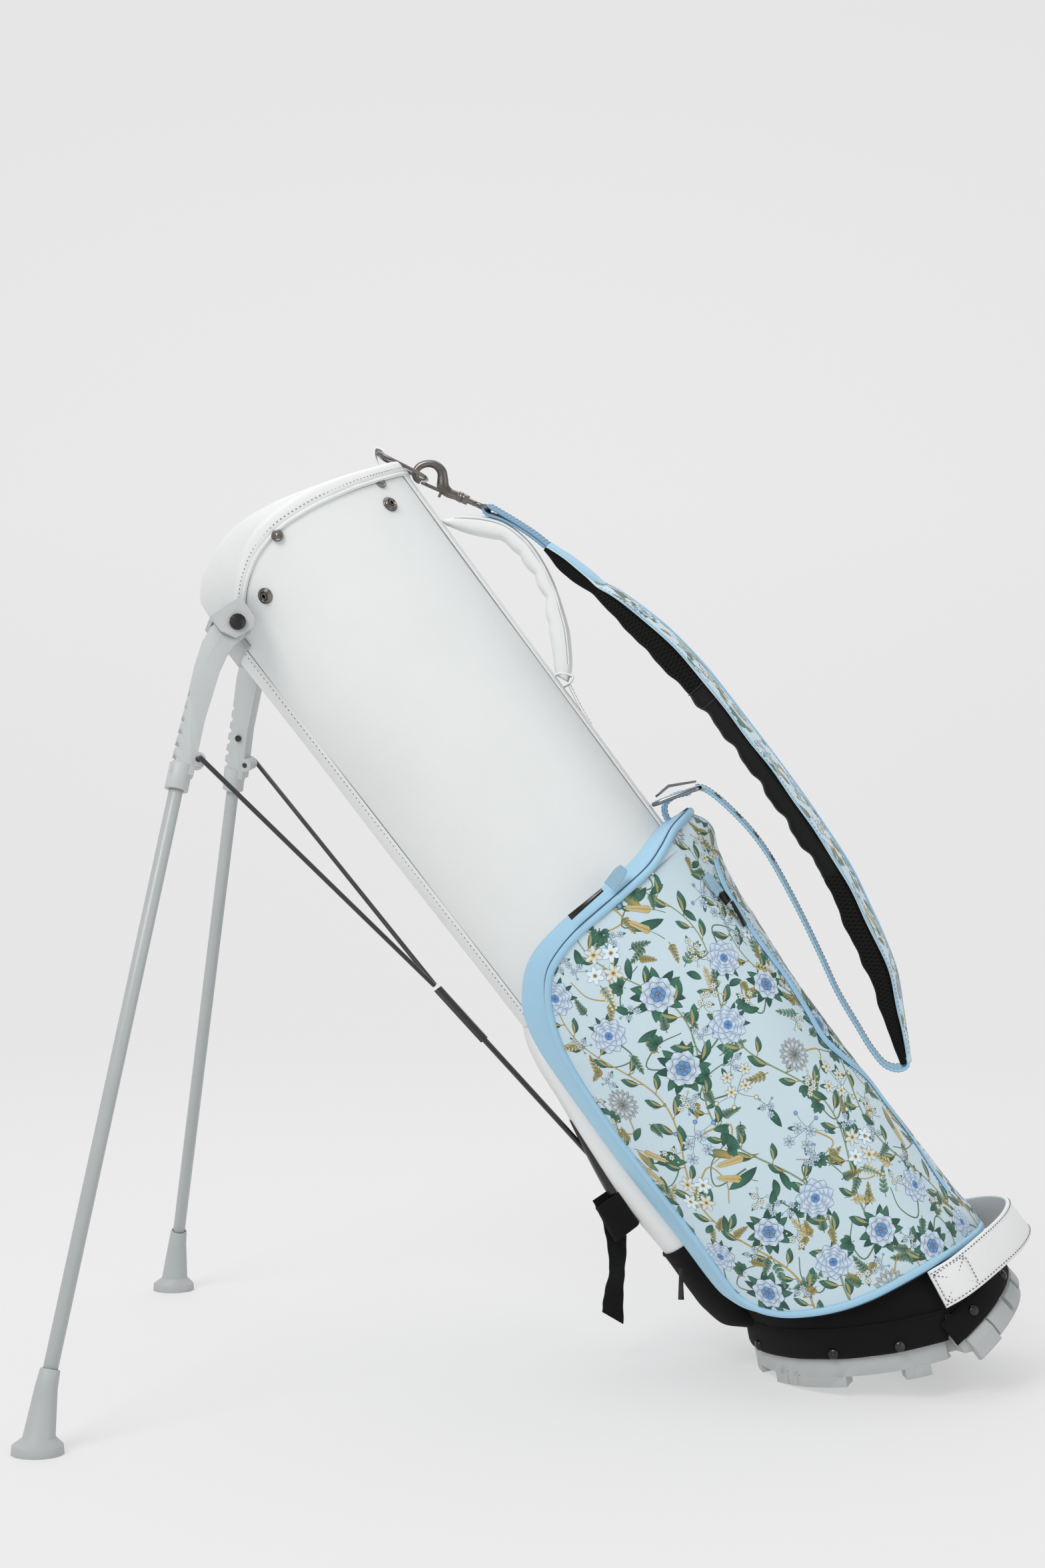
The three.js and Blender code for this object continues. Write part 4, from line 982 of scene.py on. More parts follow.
def build_band(name, points, width, depth, material, body, replaces, rows, count):
    """A flat strap of webbing or leather with rounded edges and sewn rows."""
    line, side = strap_frame(points, count)[:2]
    shape = bar(Shape(), line, width, depth, depth * 0.42, side)
    outward(shape.build(name, material, body, "blue_trim", [replaces]))
    normal = np.cross(tangents(line), side)
    s = Shape()
    for share in rows:
        for sign in (1, -1):
            path = line + side * (share * width / 2) + normal * (sign * (depth / 2 + 0.02))
            stitches(s, path, normal * sign, 3.6, 2.3, 0.26)
    s.build(name + "_stitches", BLUE_THREAD, body, "blue_trim")
    return line, side, normal


TAIL_WIDTH, TAIL_DEPTH = 17.5, 2.4
EYE_WIRE = np.array((149.5, 814.7))
HEAD_RUN = np.array([(155.8, 803.0), (162.0, 789.0), (168.0, 772.0), (173.5, 750.0)])


def head_line():
    """The head webbing: up from the pad, round the swivel eye's wire and back down on itself."""
    run = np.diff(np.vstack([EYE_WIRE, HEAD_RUN]), axis=0)
    run = run / np.linalg.norm(run, axis=1)[:, None]
    away = np.stack([-run[:, 1], run[:, 0]], -1)
    apart = np.array((2.0, 1.45, 1.35, 1.3))[:, None]
    wrap = []
    for a in np.radians(np.arange(0, 181, 30)):
        wrap.append(EYE_WIRE + 3.3 * (math.cos(a) * away[0] - math.sin(a) * run[0]))
    return np.vstack([(HEAD_RUN + away * apart)[::-1], wrap, HEAD_RUN - away * apart])


HEAD_BAND = head_line()
TAIL_BAND = [
    (150, 205), (147, 199), (140, 200), (133, 209), (131.5, 226), (134, 252), (138, 286), (145, 318),
    (152, 352), (158, 386), (162.5, 420), (163, 445), (161, 466), (156.5, 490), (152, 502), (147, 507),
]
ANCHOR_BAND = [(110, 478), (109.5, 494), (111.5, 505), (117, 511.5), (127, 512), (136, 508.5), (141, 506)]


def build_bands():
    build_band("strap_head_band", HEAD_BAND, 22, 2.2, BLUE_WEB, "strap", "strap_webbing",
               (-0.86, -0.3, 0.3, 0.86), 90)
    build_band("buckle_anchor_band", ANCHOR_BAND, TAIL_WIDTH, TAIL_DEPTH, BLUE, "bag", "strap_anchor",
               (-0.8, 0.8), 60)
    line, side, normal = build_band("strap_tail_band", TAIL_BAND, TAIL_WIDTH, TAIL_DEPTH, BLUE, "strap",
                                    "strap_tail", (-0.82, 0.82), 200)
    # eyelets on both faces of the tail: a metal rim, and inside it a black disc painted as the shade in the
    # hole
    steps = distance(line)
    s = Shape()
    for back in (22, 46, 70, 94):
        i = int(np.argmin(np.abs(steps - (steps[-1] - back))))
        along = unit(line[i + 1] - line[i - 1])
        t = turns(20)[:, None]
        for sign in (-1, 1):
            def loop(radius, lift):
                stretch = along * np.cos(t) * (radius + 1.6) + side[i] * np.sin(t) * radius
                return line[i] + stretch + normal[i] * sign * lift

            cord(s, loop(2.5, 1.22), 0.45, True, 0, 6, up=normal[i])
            # the black disc: painted shade in the eyelet's hole
            slot = loop(2.0, 1.5)
            middle = slot.mean(0)
            fan = np.stack([slot, middle + (slot - middle) * 0.02]) - normal[i] * sign * 0.12
            s.grid(fan, wrap_v=True, slot=1)
    s.build("strap_eyelets", [GUNMETAL, BLACK_CANVAS], "strap", "gunmetal")


# ---- the grab handle ----
HANDLE_OUTER = [(110, 833), (125, 827), (143, 812), (154, 796), (160.5, 770), (158, 737), (149, 706),
                (137, 677), (124, 658), (113, 650)]
HANDLE_INNER = [(111, 827), (121, 812), (138, 793), (146, 785), (148.5, 768), (149.5, 750), (147.5, 735),
                (143.5, 719), (123, 688), (108, 662)]


def build_handle():
    count = 150
    outer, inner = middle_line(HANDLE_OUTER, count), middle_line(HANDLE_INNER, count)
    t = np.linspace(0, 1, count)
    scallop = 2.4 * np.abs(np.sin(np.pi * np.clip((t - 0.26) / 0.5, 0, 1) * 4)) * ((t > 0.26) & (t < 0.76))
    away = unit(outer - inner)
    inner = inner - away * (scallop - 0.6)[:, None]
    centre = (outer + inner) / 2
    half = np.linalg.norm(outer - inner, axis=1) / 2
    fullness = np.sin(np.pi * t) ** 0.5
    half = np.clip(half, 2.6, 8) + 1.7 * fullness
    centre = centre - away * (1.2 * fullness)[:, None]
    width = 9.5 + 4.0 * fullness
    rows = []
    for angle in turns(28):
        c, q = squared(angle, 0.72, 0.8)
        rows.append(centre + away * (half * c)[:, None] + ALONG_Y * (width * q)[:, None])
    s = Shape().grid(np.stack(rows, 1), wrap_v=True, caps=True)
    outward(s.build("handle_skin", WHITE_TRIM, "handle", "white_leather", ["grab_handle"]))
    s = Shape()
    pick = slice(8, count - 10)
    for sign in (-1, 1):
        seam = centre[pick] + away[pick] * (half[pick] * 0.62)[:, None]
        seam = seam + sign * ALONG_Y * (width[pick] * 0.93)[:, None]
        cord(s, seam, 0.8, sides=8, up=(1, 0, 0))
        # a thin dark cord beside each seam: painted shade
        cord(s, seam - away[pick] * 1.3, 0.28, slot=1, sides=6, up=(1, 0, 0))
    s.build("handle_seams", [WHITE_TRIM, SEAM_SHADE], "handle", "white_leather")
    # the folded band at the handle's foot and the sewn tab below it
    s = Shape()
    fold = middle_line([(103, 662), (110, 661), (117, 655), (119, 651), (114, 648.5), (104, 650)], 40)
    bar(s, fold, 22, 2.2, 1.0, np.tile(ALONG_Y, (40, 1)))
    tab_z = np.linspace(650, 606, 24)
    share = np.linspace(-1, 1, 9)
    half_wide = 10.5 * (1 - fade(tab_z, 650, 606) ** 1.8 * 0.75)
    lift = 6.5 * fade(tab_z, 606, 650) ** 1.4 + 2.2
    y = share[None] * half_wide[:, None]
    x = np.sqrt((tube_radius(tab_z) + lift)[:, None] ** 2 - y ** 2)
    s.grid(np.stack([x, y, tab_z[:, None] + 0 * y], -1))
    s.grid(np.stack([x - 2.0, y, tab_z[:, None] + 0 * y], -1)[:, ::-1])
    s.build("handle_tabs", WHITE_TRIM, "bag", "white_leather")
    s = Shape()
    for sign in (-1, 1):
        y = sign * (half_wide - 1.8)
        x = np.sqrt((tube_radius(tab_z) + lift) ** 2 - y ** 2)
        path = np.stack([x, y, tab_z], -1)
        stitches(s, path, np.tile((1.0, 0, 0), (len(path), 1)), 3.4, 2.1, 0.28)
    s.build("handle_tab_stitches", THREAD, "bag", "white_leather")


build_strap()
build_bands()
build_handle()


# ---- the printed flowers ----
NAVY = (0.012, 0.035, 0.075)
DEEP_GREEN = (0.018, 0.085, 0.062)
GREEN = (0.06, 0.20, 0.13)
PALE_GREEN = (0.22, 0.36, 0.22)
OLIVE = (0.20, 0.21, 0.075)
INK_BLUE = (0.045, 0.15, 0.40)
SKY = (0.20, 0.40, 0.70)
MIST = (0.74, 0.86, 0.95)
CREAM = (0.78, 0.73, 0.46)
STRAW = (0.56, 0.38, 0.09)
TAN = (0.28, 0.19, 0.06)
SLATE = (0.10, 0.125, 0.125)
SILVER = (0.52, 0.57, 0.58)


def step_from(at, turn, reach, squeeze=1.0):
    """The point that lies `reach` from `at` in the direction `turn`, its rise scaled by `squeeze`."""
    return (at[0] + reach * math.cos(turn), at[1] + reach * math.sin(turn) * squeeze)


class Print:
    """Draws flowers, leaves and stems as thin coloured shapes laid on a cloth."""

    def __init__(self, place):
        self.shape, self.place, self.layer = Shape(), place, 0

    def patch(self, points, colours, lift):
        p = self.place(points[..., 0], points[..., 1], lift)
        tints = np.concatenate([colours, np.ones(colours.shape[:-1] + (1,))], -1)
        self.shape.grid(p, tint=tints.reshape(-1, 4))

    def leaf(self, at, turn, length, width, base, tip, lift=0.2, bend=0.0, point=1.0, edge=0.0,
             edge_tint=NAVY):
        """A leaf or petal from `at`: its half width swells and closes; its tint runs from base to tip."""
        if edge:
            grow = (length + 2 * edge) / length
            self.leaf(step_from(at, turn, -edge), turn, length * grow, width + 2 * edge, edge_tint,
                      edge_tint, lift - 0.03, bend, point)
        t = np.linspace(0, 1, 8)[:, None]
        u = np.linspace(-1, 1, 5)[None]
        half = width / 2 * np.sin(np.pi * t ** (0.8 + 0.25 * point)) ** 0.75
        x = length * t + 0 * u
        y = half * u + bend * t ** 2
        c, s = math.cos(turn), math.sin(turn)
        points = np.stack([at[0] + x * c - y * s, at[1] + x * s + y * c], -1)
        shade = (1 - 0.25 * np.abs(u))[..., None] if base != tip else np.ones((1, 5, 1))
        blend = t[..., None] * np.ones((1, 5, 1))
        colours = (np.array(base) * (1 - blend) + np.array(tip) * blend) * shade
        self.patch(points, colours, lift)

    def stem(self, points, width, tint, lift=0.14, tail=None):
        path = spline(np.array([(x, y, 0.0) for x, y in points]), 6 * len(points))
        t = tangents(path)
        side = np.stack([-t[:, 1], t[:, 0]], -1)
        half = np.linspace(width, tail if tail is not None else width * 0.5, len(path))[:, None] / 2
        rows = np.stack([path[:, :2] + side * half, path[:, :2] - side * half], 1)
        colours = np.broadcast_to(np.array(tint), (len(path), 2, 3))
        self.patch(rows, colours, lift)

    def dot(self, at, radius, tint, lift=0.35):
        a = np.linspace(0, 2 * np.pi, 9)
        circle = np.stack([at[0] + radius * np.cos(a), at[1] + radius * np.sin(a)], -1)
        middle = np.broadcast_to(np.array(at, float), circle.shape)
        self.patch(np.stack([circle, middle]), np.broadcast_to(np.array(tint), (2, 9, 3)), lift)

    def bloom(self, at, size, turn, rings, heart, edge=0.35, edge_tint=NAVY):
        """Rings of petals, each (count, reach, width, base tint, tip tint), outermost first."""
        lift = 0.2
        for k, (count, reach, width, base, tip) in enumerate(rings):
            for i in range(count):
                a = turn + 2 * math.pi * (i + 0.5 * (k % 2)) / count
                self.leaf(at, a, size * reach, size * width, base, tip, lift + 0.006 * (i % 2), 0, 3.2,
                          edge, edge_tint)
            lift += 0.05
        for i in range(heart):
            a = 2.4 * i
            spot = step_from(at, a, size * 0.045 * math.sqrt(i))
            self.dot(spot, size * 0.035, STRAW if i % 2 else SLATE, lift + 0.02)

    def peony(self, at, size, turn):
        for i in range(11):
            a = turn + 2 * math.pi * i / 11
            tip = GREEN if i % 2 else DEEP_GREEN
            bend = size * 0.18 * (-1) ** i
            self.leaf(at, a, size * 1.5, size * 0.5, DEEP_GREEN, tip, 0.16, bend, 1, 0.25)
        rings = ((8, 1.0, 0.72, SKY, MIST), (7, 0.7, 0.52, INK_BLUE, MIST), (6, 0.42, 0.34, INK_BLUE, SKY))
        self.bloom(at, size, turn, rings, 9)

    def carnation(self, at, size, turn):
        rings = ((9, 1.0, 0.6, INK_BLUE, MIST), (8, 0.8, 0.52, SKY, MIST), (7, 0.6, 0.44, INK_BLUE, MIST),
                 (6, 0.4, 0.36, SKY, MIST), (4, 0.22, 0.26, INK_BLUE, SKY))
        self.bloom(at, size, turn, rings, 0, 0.3, INK_BLUE)
        for i in (-1, 0, 1):
            self.leaf(at, turn + math.pi + 0.5 * i, size * 1.25, size * 0.3, GREEN, DEEP_GREEN, 0.15, 1.5 * i)

    def daisy(self, at, size, turn):
        rings = ((17, 1.0, 0.26, SLATE, SILVER), (13, 0.76, 0.24, SLATE, MIST), (9, 0.5, 0.2, SLATE, SILVER))
        self.bloom(at, size, turn, rings, 5, 0.2, SLATE)

    def star(self, at, size, turn, tip, heart=STRAW):
        for i in range(6):
            a = turn + math.pi * i / 3
            self.leaf(at, a, size, size * 0.5, tip, MIST, 0.22, 0, 1.4, 0.2, SLATE)
        self.dot(at, size * 0.24, heart, 0.3)
        self.dot(at, size * 0.12, SLATE, 0.32)

    def sprig(self, at, turn, length, tint, tip, pairs=5, leaf=4.0, fruit=False):
        c, s = math.cos(turn), math.sin(turn)
        bend = 0.16 * length

        def along(t):
            y = bend * t * t
            return (at[0] + length * t * c - y * s, at[1] + length * t * s + y * c)

        self.stem([along(0), along(0.33), along(0.66), along(1)], 0.7, tint)
        for i in range(pairs):
            t = (i + 1) / (pairs + 0.5)
            for sign in (-1, 1):
                a = turn + 0.32 * t + sign * (0.85 - 0.35 * t)
                size = leaf * (1.15 - 0.5 * t)
                self.leaf(along(t), a, size, size * 0.42, tint, tip, 0.18, sign * 0.4, 1, 0.15, SLATE)
                if fruit:
                    self.dot(step_from(along(t), a, size), 1.1, tip, 0.3)
        self.leaf(along(1), turn + 0.32, leaf * 0.9, leaf * 0.36, tint, tip, 0.18, 0, 1, 0.15, SLATE)

    def wheat(self, at, turn, length):
        c, s = math.cos(turn), math.sin(turn)
        self.stem([(at[0] - 12 * c, at[1] - 12 * s - 2), (at[0] - 5 * c, at[1] - 5 * s), at], 0.7, OLIVE)
        for i in range(9):
            t = i / 9 * length
            for sign in (-1, 1):
                self.leaf(step_from(at, turn, t), turn + sign * 0.42, 6.4 - 0.3 * i, 3.6 - 0.2 * i, STRAW,
                          CREAM, 0.18 + 0.01 * i, 0, 1, 0.2, TAN)
        self.leaf(step_from(at, turn, length), turn, 4, 1.4, STRAW, CREAM, 0.3, 0, 1, 0.2, TAN)

    def ivy(self, at, turn, size, tint=GREEN):
        for i in (-2, -1, 0, 1, 2):
            self.leaf(at, turn + 0.62 * i, size * (1 - 0.13 * abs(i)), size * 0.46, DEEP_GREEN, tint, 0.19,
                      0, 1.2, 0.22)
        self.stem([step_from(at, turn, -0.3 * size), at], 0.7, OLIVE)

    def cluster(self, at, size, turn, tip, count=6):
        for i in range(count):
            a = turn + 2.4 * i
            spot = step_from(at, a, size * 0.62 * math.sqrt(i + 0.3))
            self.stem([at, ((at[0] + spot[0]) / 2 + 0.8, (at[1] + spot[1]) / 2), spot], 0.45, GREEN)
            if i % 3 == 2 or i % 5 == 4:
                self.dot(spot, size * 0.15, SLATE, 0.28)
                self.dot(spot, size * 0.12, tip, 0.3)
            else:
                self.star(spot, size * 0.42, a, tip)
            if i % 2:
                self.leaf(spot, a, size * 0.7, size * 0.26, DEEP_GREEN, GREEN, 0.16, 0.6, 1, 0.2)

    def vine(self, points, width=1.1, tint=STRAW):
        self.stem(points, width + 0.5, TAN, 0.12)
        self.stem(points, width, tint, 0.14)

    def climber(self, x, low, high, wave, draw):
        """A main stem that winds up the cloth, with curled leaves and tendrils on alternate sides."""
        ys = np.arange(low, high, 13.0)
        points = [(x + 16 * math.sin(y / 30.0 + wave), y) for y in ys]
        self.vine(points, 1.25, STRAW if wave % 2 < 1 else PALE_GREEN)
        for i, at in enumerate(points[1:-1]):
            sign = 1 if i % 2 else -1
            a = math.pi / 2 - sign * draw.uniform(0.7, 1.3)
            size = draw.uniform(13, 19)
            self.stem([at, step_from(at, a, 5)], 0.8, TAN)
            root = step_from(at, a, 4)
            self.leaf(root, a, size, size * 0.42, DEEP_GREEN, GREEN, 0.17, sign * 4, 1, 0.25)
            self.leaf(root, a + 0.12 * sign, size * 0.8, size * 0.16, STRAW, PALE_GREEN, 0.19, sign * 4, 1)
            if i % 3 == 1:
                curl = [at]
                for k in range(1, 5):
                    b = a + math.pi * 0.5 + sign * 0.75 * k
                    curl.append(step_from(step_from(at, a, 3 * k), b, 3.4))
                self.stem(curl, 0.8, OLIVE, 0.15)


def print_motif(press, kind, x, y, turn, size, draw):
    """One cell of the pattern: a main flower with its leaves, sprigs and a stretch of vine."""
    reach = 30.0 * size
    arc = [step_from((x, y), turn + a, reach, 0.9) for a in (2.6, 1.9, 1.2, 0.5, -0.2)]
    press.vine([(x, y)] + arc[::-1][:3], 1.0, STRAW if kind % 2 else GREEN)
    if kind == 0:
        press.peony((x, y), 14.5 * size, turn)
        press.sprig(arc[0], turn + 2.2, 21, GREEN, PALE_GREEN, 5, 6.0)
        press.ivy(arc[3], turn + 0.4, 11.0)
    elif kind == 1:
        press.daisy((x, y), 15.0 * size, turn)
        press.ivy(arc[2], turn + 1.2, 12.0)
        press.sprig(arc[0], turn + 2.6, 19, OLIVE, STRAW, 5, 5.5)
    elif kind == 2:
        press.carnation((x, y), 15.5 * size, turn)
        press.sprig(arc[1], turn + 1.6, 19, STRAW, CREAM, 5, 5.5)
    elif kind == 3:
        for i, (dx, dy) in enumerate(((-11, 4), (1, 11), (10, -3), (-3, -10))):
            press.star((x + dx * size, y + dy * size), 8.0 * size, turn + i, CREAM if i % 2 else MIST)
        press.sprig((x + 12, y - 12), turn - 0.6, 21, GREEN, CREAM, 6, 5.0, True)
        press.sprig((x - 12, y + 10), turn + 2.4, 20, DEEP_GREEN, GREEN, 5, 6.0)
    elif kind == 4:
        press.wheat((x - 4, y + 9), turn, 20)
        press.wheat((x + 8, y - 5), turn + 0.35, 17)
        press.leaf((x - 8, y - 4), turn - 0.5, 30, 8.5, DEEP_GREEN, GREEN, 0.19, 4, 1, 0.25)
        press.leaf((x + 2, y + 13), turn + 0.7, 25, 7.0, STRAW, GREEN, 0.19, -4, 1, 0.25)
    else:
        press.cluster((x, y), 13.0 * size, turn, SKY if kind == 5 else CREAM, 7)
        press.ivy(arc[3], turn, 10.0)
    for _ in range(5):
        a, r = draw.uniform(0, FULL_TURN), draw.uniform(21, 31) * size
        spot = step_from((x, y), a, r)
        choice = draw.randrange(4)
        if choice == 0:
            press.sprig(spot, a, draw.uniform(11, 16), OLIVE, STRAW, 5, 4.6)
        elif choice == 1:
            press.leaf(spot, a + 0.8, draw.uniform(12, 19), 6.2, DEEP_GREEN, GREEN, 0.19, 2.5, 1, 0.22)
        elif choice == 2:
            press.cluster(spot, 7.0, a, SKY if draw.random() < 0.6 else CREAM, 5)
        else:
            press.sprig(spot, a, draw.uniform(11, 16), DEEP_GREEN, PALE_GREEN, 5, 5.2)


FACE_RADIUS = 118.5  # the face's mean radius, for laying the pattern out flat


def build_pocket_print():
    """Climbing stems and rows of motifs over the face, held inside its outline."""
    half = wall_spline(FACE_EDGE, 400)
    corner = int(np.argmax(half[:, 0]))
    top, bottom = [part[np.argsort(part[:, 0])] for part in (half[:corner], half[corner:])]
    side = half[np.argsort(half[:, 1])]
    per_degree = math.radians(1.0) * FACE_RADIUS

    def place(x, y, lift):
        angle, z = x / per_degree, np.array(y, float)
        a = np.minimum(np.abs(angle), 139.5)
        high = np.interp(a, top[:, 0], top[:, 1]) - 1.0
        low = np.interp(a, bottom[:, 0], bottom[:, 1]) + 1.0
        z_in = np.clip(z, low, high)
        limit = np.interp(np.clip(z, 48.5, 490.5), side[:, 1], side[:, 0]) - 0.6
        a_in = np.minimum(np.abs(angle), limit)
        by_angle = np.abs(np.abs(angle) - a_in) * per_degree < np.abs(z - z_in)
        a_in = np.where(by_angle, a_in, a)
        z_in = np.where(by_angle, np.clip(z, 49, 490), z_in)
        return on_face(np.sign(angle) * a_in, z_in, lift)

    draw = random.Random(5)
    press = Print(place)
    for column in range(-5, 6):
        press.climber(column * 56.0 + 16.0, 52.0, 496.0, 1.7 * column, draw)
    kinds = (0, 5, 2, 4, 0, 3, 1, 2, 6)
    for row in range(9):
        for column in range(-5, 6):
            x = column * 56.0 + (28.0 if row % 2 else 0.0) + draw.uniform(-6, 6)
            y = 74.0 + row * 52.0 + draw.uniform(-6, 6)
            angle = abs(x / per_degree)
            if angle > 150 or y > 500 or y < np.interp(min(angle, 139), bottom[:, 0], bottom[:, 1]) - 22:
                continue
            if y > np.interp(min(angle, 138), top[:, 0], top[:, 1]) + 22:
                continue
            kind = kinds[(2 * column + 5 * row) % 9]
            print_motif(press, kind, x, y, draw.uniform(0, FULL_TURN), draw.uniform(0.9, 1.1), draw)
    press.shape.build("pocket_print", PRINT, "bag", "floral_cloth", tinted=True)


def build_strap_print():
    def place(x, y, lift):
        steps = np.clip(x, 44, STRAP_LENGTH - 14)
        z = np.interp(steps, np.linspace(0, STRAP_LENGTH, len(STRAP[0])), STRAP[0][:, 2])
        half = strap_width(z) / 2 - 2.2
        return on_strap(steps, np.clip(y, -half, half), lift * 0.8 + 0.05)

    draw = random.Random(11)
    press = Print(place)
    for i in range(13):
        x = 66.0 + 40.0 * i + draw.uniform(-5, 5)
        y = draw.uniform(4, 15) * (1 if i % 2 else -1)
        print_motif(press, (3, 0, 4, 6, 1, 5, 2)[i % 7], x, y, draw.uniform(0, FULL_TURN), 0.72, draw)
    press.shape.build("strap_print", PRINT, "strap", "floral_cloth", tinted=True)


build_pocket_print()
build_strap_print()


# ---- the cloth sleeve over the base's hinge, its hem and rivets ----
def on_hem(angle, z, lift=0.0):
    """A point of the front plate's wall, given as it is on the closed bag."""
    p = polar(HEM_R + lift, angle, z)
    p[..., 0] += PLATE_SHIFT
    return on_plate(p)


def build_sleeve():
    angles = np.linspace(-180, 180, 241)[:-1]
    a = np.abs(angles)
    front = fade(a, 57, 65)[:, None]
    front = front * front * (3 - 2 * front)
    behind = polar(skirt_radius(20) + 0.6, angles, 20.0 + 0 * a)
    low = on_hem(angles, 33.0 + 0 * a, -0.6) * front + behind * (1 - front)
    high = polar(tube_radius(122) + 1.0, angles, 122.0 + 0 * a)
    rows = []
    fan = np.sin((a - 58) / 6.5) * np.exp(-(((a - 78) / 26.0) ** 2))
    creases = np.sin(a / 4.1 + 1.3) * np.exp(-(((a - 96) / 22.0) ** 2))
    for t in np.linspace(0, 1, 26):
        p = low * (1 - t) + high * t
        radial = unit(p * (1, 1, 0))
        belly = math.sin(math.pi * t) ** 0.8
        puff = 1.3 * belly * (a < 150) + belly * (2.0 * fan * (1 - t) + 0.9 * creases * t)
        rows.append(p + radial * puff[:, None])
    s = Shape().grid(np.array(rows), wrap_v=True)
    sleeve = outward(s.build("sleeve_cloth", BLACK_CANVAS, None, "black_cloth", ["base_sleeve"]))
    thicken(sleeve, 1.2)
    # it stretches from the bag's wall down to the plate that turns on the hinge
    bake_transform(sleeve)

    # hem on the front plate
    angles = np.concatenate([np.linspace(63, 180, 98), np.linspace(180, 297, 98)[1:]])
    section = [(-0.8, 36.4), (0.7, 36.6), (1.3, 35.4), (0.75, 34.2), (1.3, 33.0), (1.7, 26), (1.9, 19),
               (1.8, 13.5), (1.1, 10.9), (-0.2, 10.2), (-1.0, 11.4)]
    ease = fade(np.minimum(angles, 360 - angles), 63, 69)
    wavy = 0.35 * np.sin(angles / 3.7) + 0.3 * np.sin(angles / 9.1)
    rows = []
    for lift, z in section:
        rows.append(on_hem(angles, z + 0.4 * wavy, lift * (0.5 + 0.5 * ease) + 0.15 * wavy))
    s = Shape().grid(np.stack(rows, 1), wrap_v=True, caps=True)
    outward(s.build("front_hem", BLACK_CANVAS, "base_plate", "black_cloth", ["sleeve_hem"]))
    # hem at the rear
    angles = np.linspace(-71, 71, 120)
    section = [(-0.6, 26.6), (0.8, 26.8), (1.4, 25.4), (0.9, 24.0), (1.5, 22.8), (1.9, 16), (2.0, 9.5),
               (1.4, 5.2), (0.2, 4.0), (-0.8, 5.0)]
    wavy = 0.3 * np.sin(angles / 4.3)
    rows = [polar(skirt_radius(z) + lift + 0.15 * wavy, angles, z + 0.4 * wavy) for lift, z in section]
    s = Shape().grid(np.stack(rows, 1), wrap_v=True, caps=True)
    outward(s.build("rear_hem", BLACK_CANVAS, "bag", "black_cloth"))
    dome = [(0.2, 2.9), (2.0, 2.7), (3.6, 2.0), (4.6, 0.9), (4.9, 0.0), (4.8, -1.0)]
    front_studs, rear_studs = Shape(), Shape()
    for sign in (-1, 1):
        for angle in (161, 115, 86):
            at, off = [on_hem(np.array(sign * float(angle)), np.array(15.5), lift) for lift in (1.7, 5)]
            turned(front_studs, at, unit(off - at), dome, 20)
        for angle, z in ((54.8, 15.6), (23.5, 11.8)):
            at = polar(skirt_radius(z) + 1.8, sign * angle, z)
            turned(rear_studs, at, wall_normal(sign * angle), dome, 20)
    front_studs.build("front_hem_studs", DARK_METAL, "base_plate", "gunmetal")
    rear_studs.build("rear_hem_studs", DARK_METAL, "bag", "gunmetal")


# ---- the carry loop at the foot ----
LIFT_LINE = [(50, -102.5, 51), (70, -98, 47.5), (102, -78, 43), (134, -42, 37), (146, 0, 34.5)]


def build_lift_loop():
    points = LIFT_LINE + [(n, -y, z) for n, y, z in LIFT_LINE[-2::-1]]
    line = spline(np.array(points, float), 120)
    t = tangents(line)
    out = unit(line * (1, 1, 0))
    up = unit(np.cross(t, out))
    up = up * np.sign(up[:, 2:])
    out = np.cross(up, t) * np.sign(np.sum(np.cross(up, t) * out, 1))[:, None]
    s = bar(Shape(), line, 34, 3.4, 1.5, up, 5)
    outward(s.build("lift_loop_skin", WHITE_TRIM, "bag", "white_leather", ["lift_loop"]))
    s = Shape()
    for share in (-0.84, 0.84):
        stitches(s, line + up * (17 * share) + out * 1.72, out, 3.8, 2.3, 0.42)
    for end in (0, -1):
        step = 1 if end == 0 else -1
        a = line[end] + t[end] * step * 2.5 + out[end] * 1.75
        b = line[end + 14 * step] + out[end + 14 * step] * 1.75
        corners = [a + up[end] * 12.5, a - up[end] * 12.5, b - up[end] * 12.5, b + up[end] * 12.5]
        for i, j in ((0, 1), (2, 3), (0, 2), (1, 3), (1, 2), (3, 0)):
            k = np.linspace(0, 1, 30)[:, None]
            path = corners[i] * (1 - k) + corners[j] * k
            bow = 1.15 * np.sin(np.pi * k) * out[end]
            stitches(s, path + bow, np.tile(out[end], (30, 1)), 3.4, 2.1, 0.45)
    s.build("lift_loop_stitches", GREY_THREAD, "bag", "white_leather")


# ---- the belly: channel for the rods, its lip, and the dark cover below ----
channel_top = smooth([[96, 99.5], [104, 109], [112, 117.5], [122, 122.5], [132, 124.6], [150, 125.2],
                      [190, 124.6], [214, 125.8], [254, 127.5], [310, 123.6], [360, 118.2], [398, 114.5],
                      [417, 110], [432, 103]])


LEG_STRAP_HALF = 10.5  # half the width of the leg strap's webbing


def arch(z, half=CHANNEL_HALF, extra=0.0, count=27, power=0.62):
    """Points across the channel at height z, from the far side to the near side."""
    z = np.asarray(z, float)[:, None]
    t = np.linspace(0, np.pi, count)[None]
    y = half * np.cos(t)
    wall = np.sqrt(tube_radius(z) ** 2 - y ** 2)
    rise = np.maximum(channel_top(z) + extra - tube_radius(z), 0.2)
    n = -(wall + rise * np.sin(t) ** power)
    return np.stack(np.broadcast_arrays(n, y, z), -1)


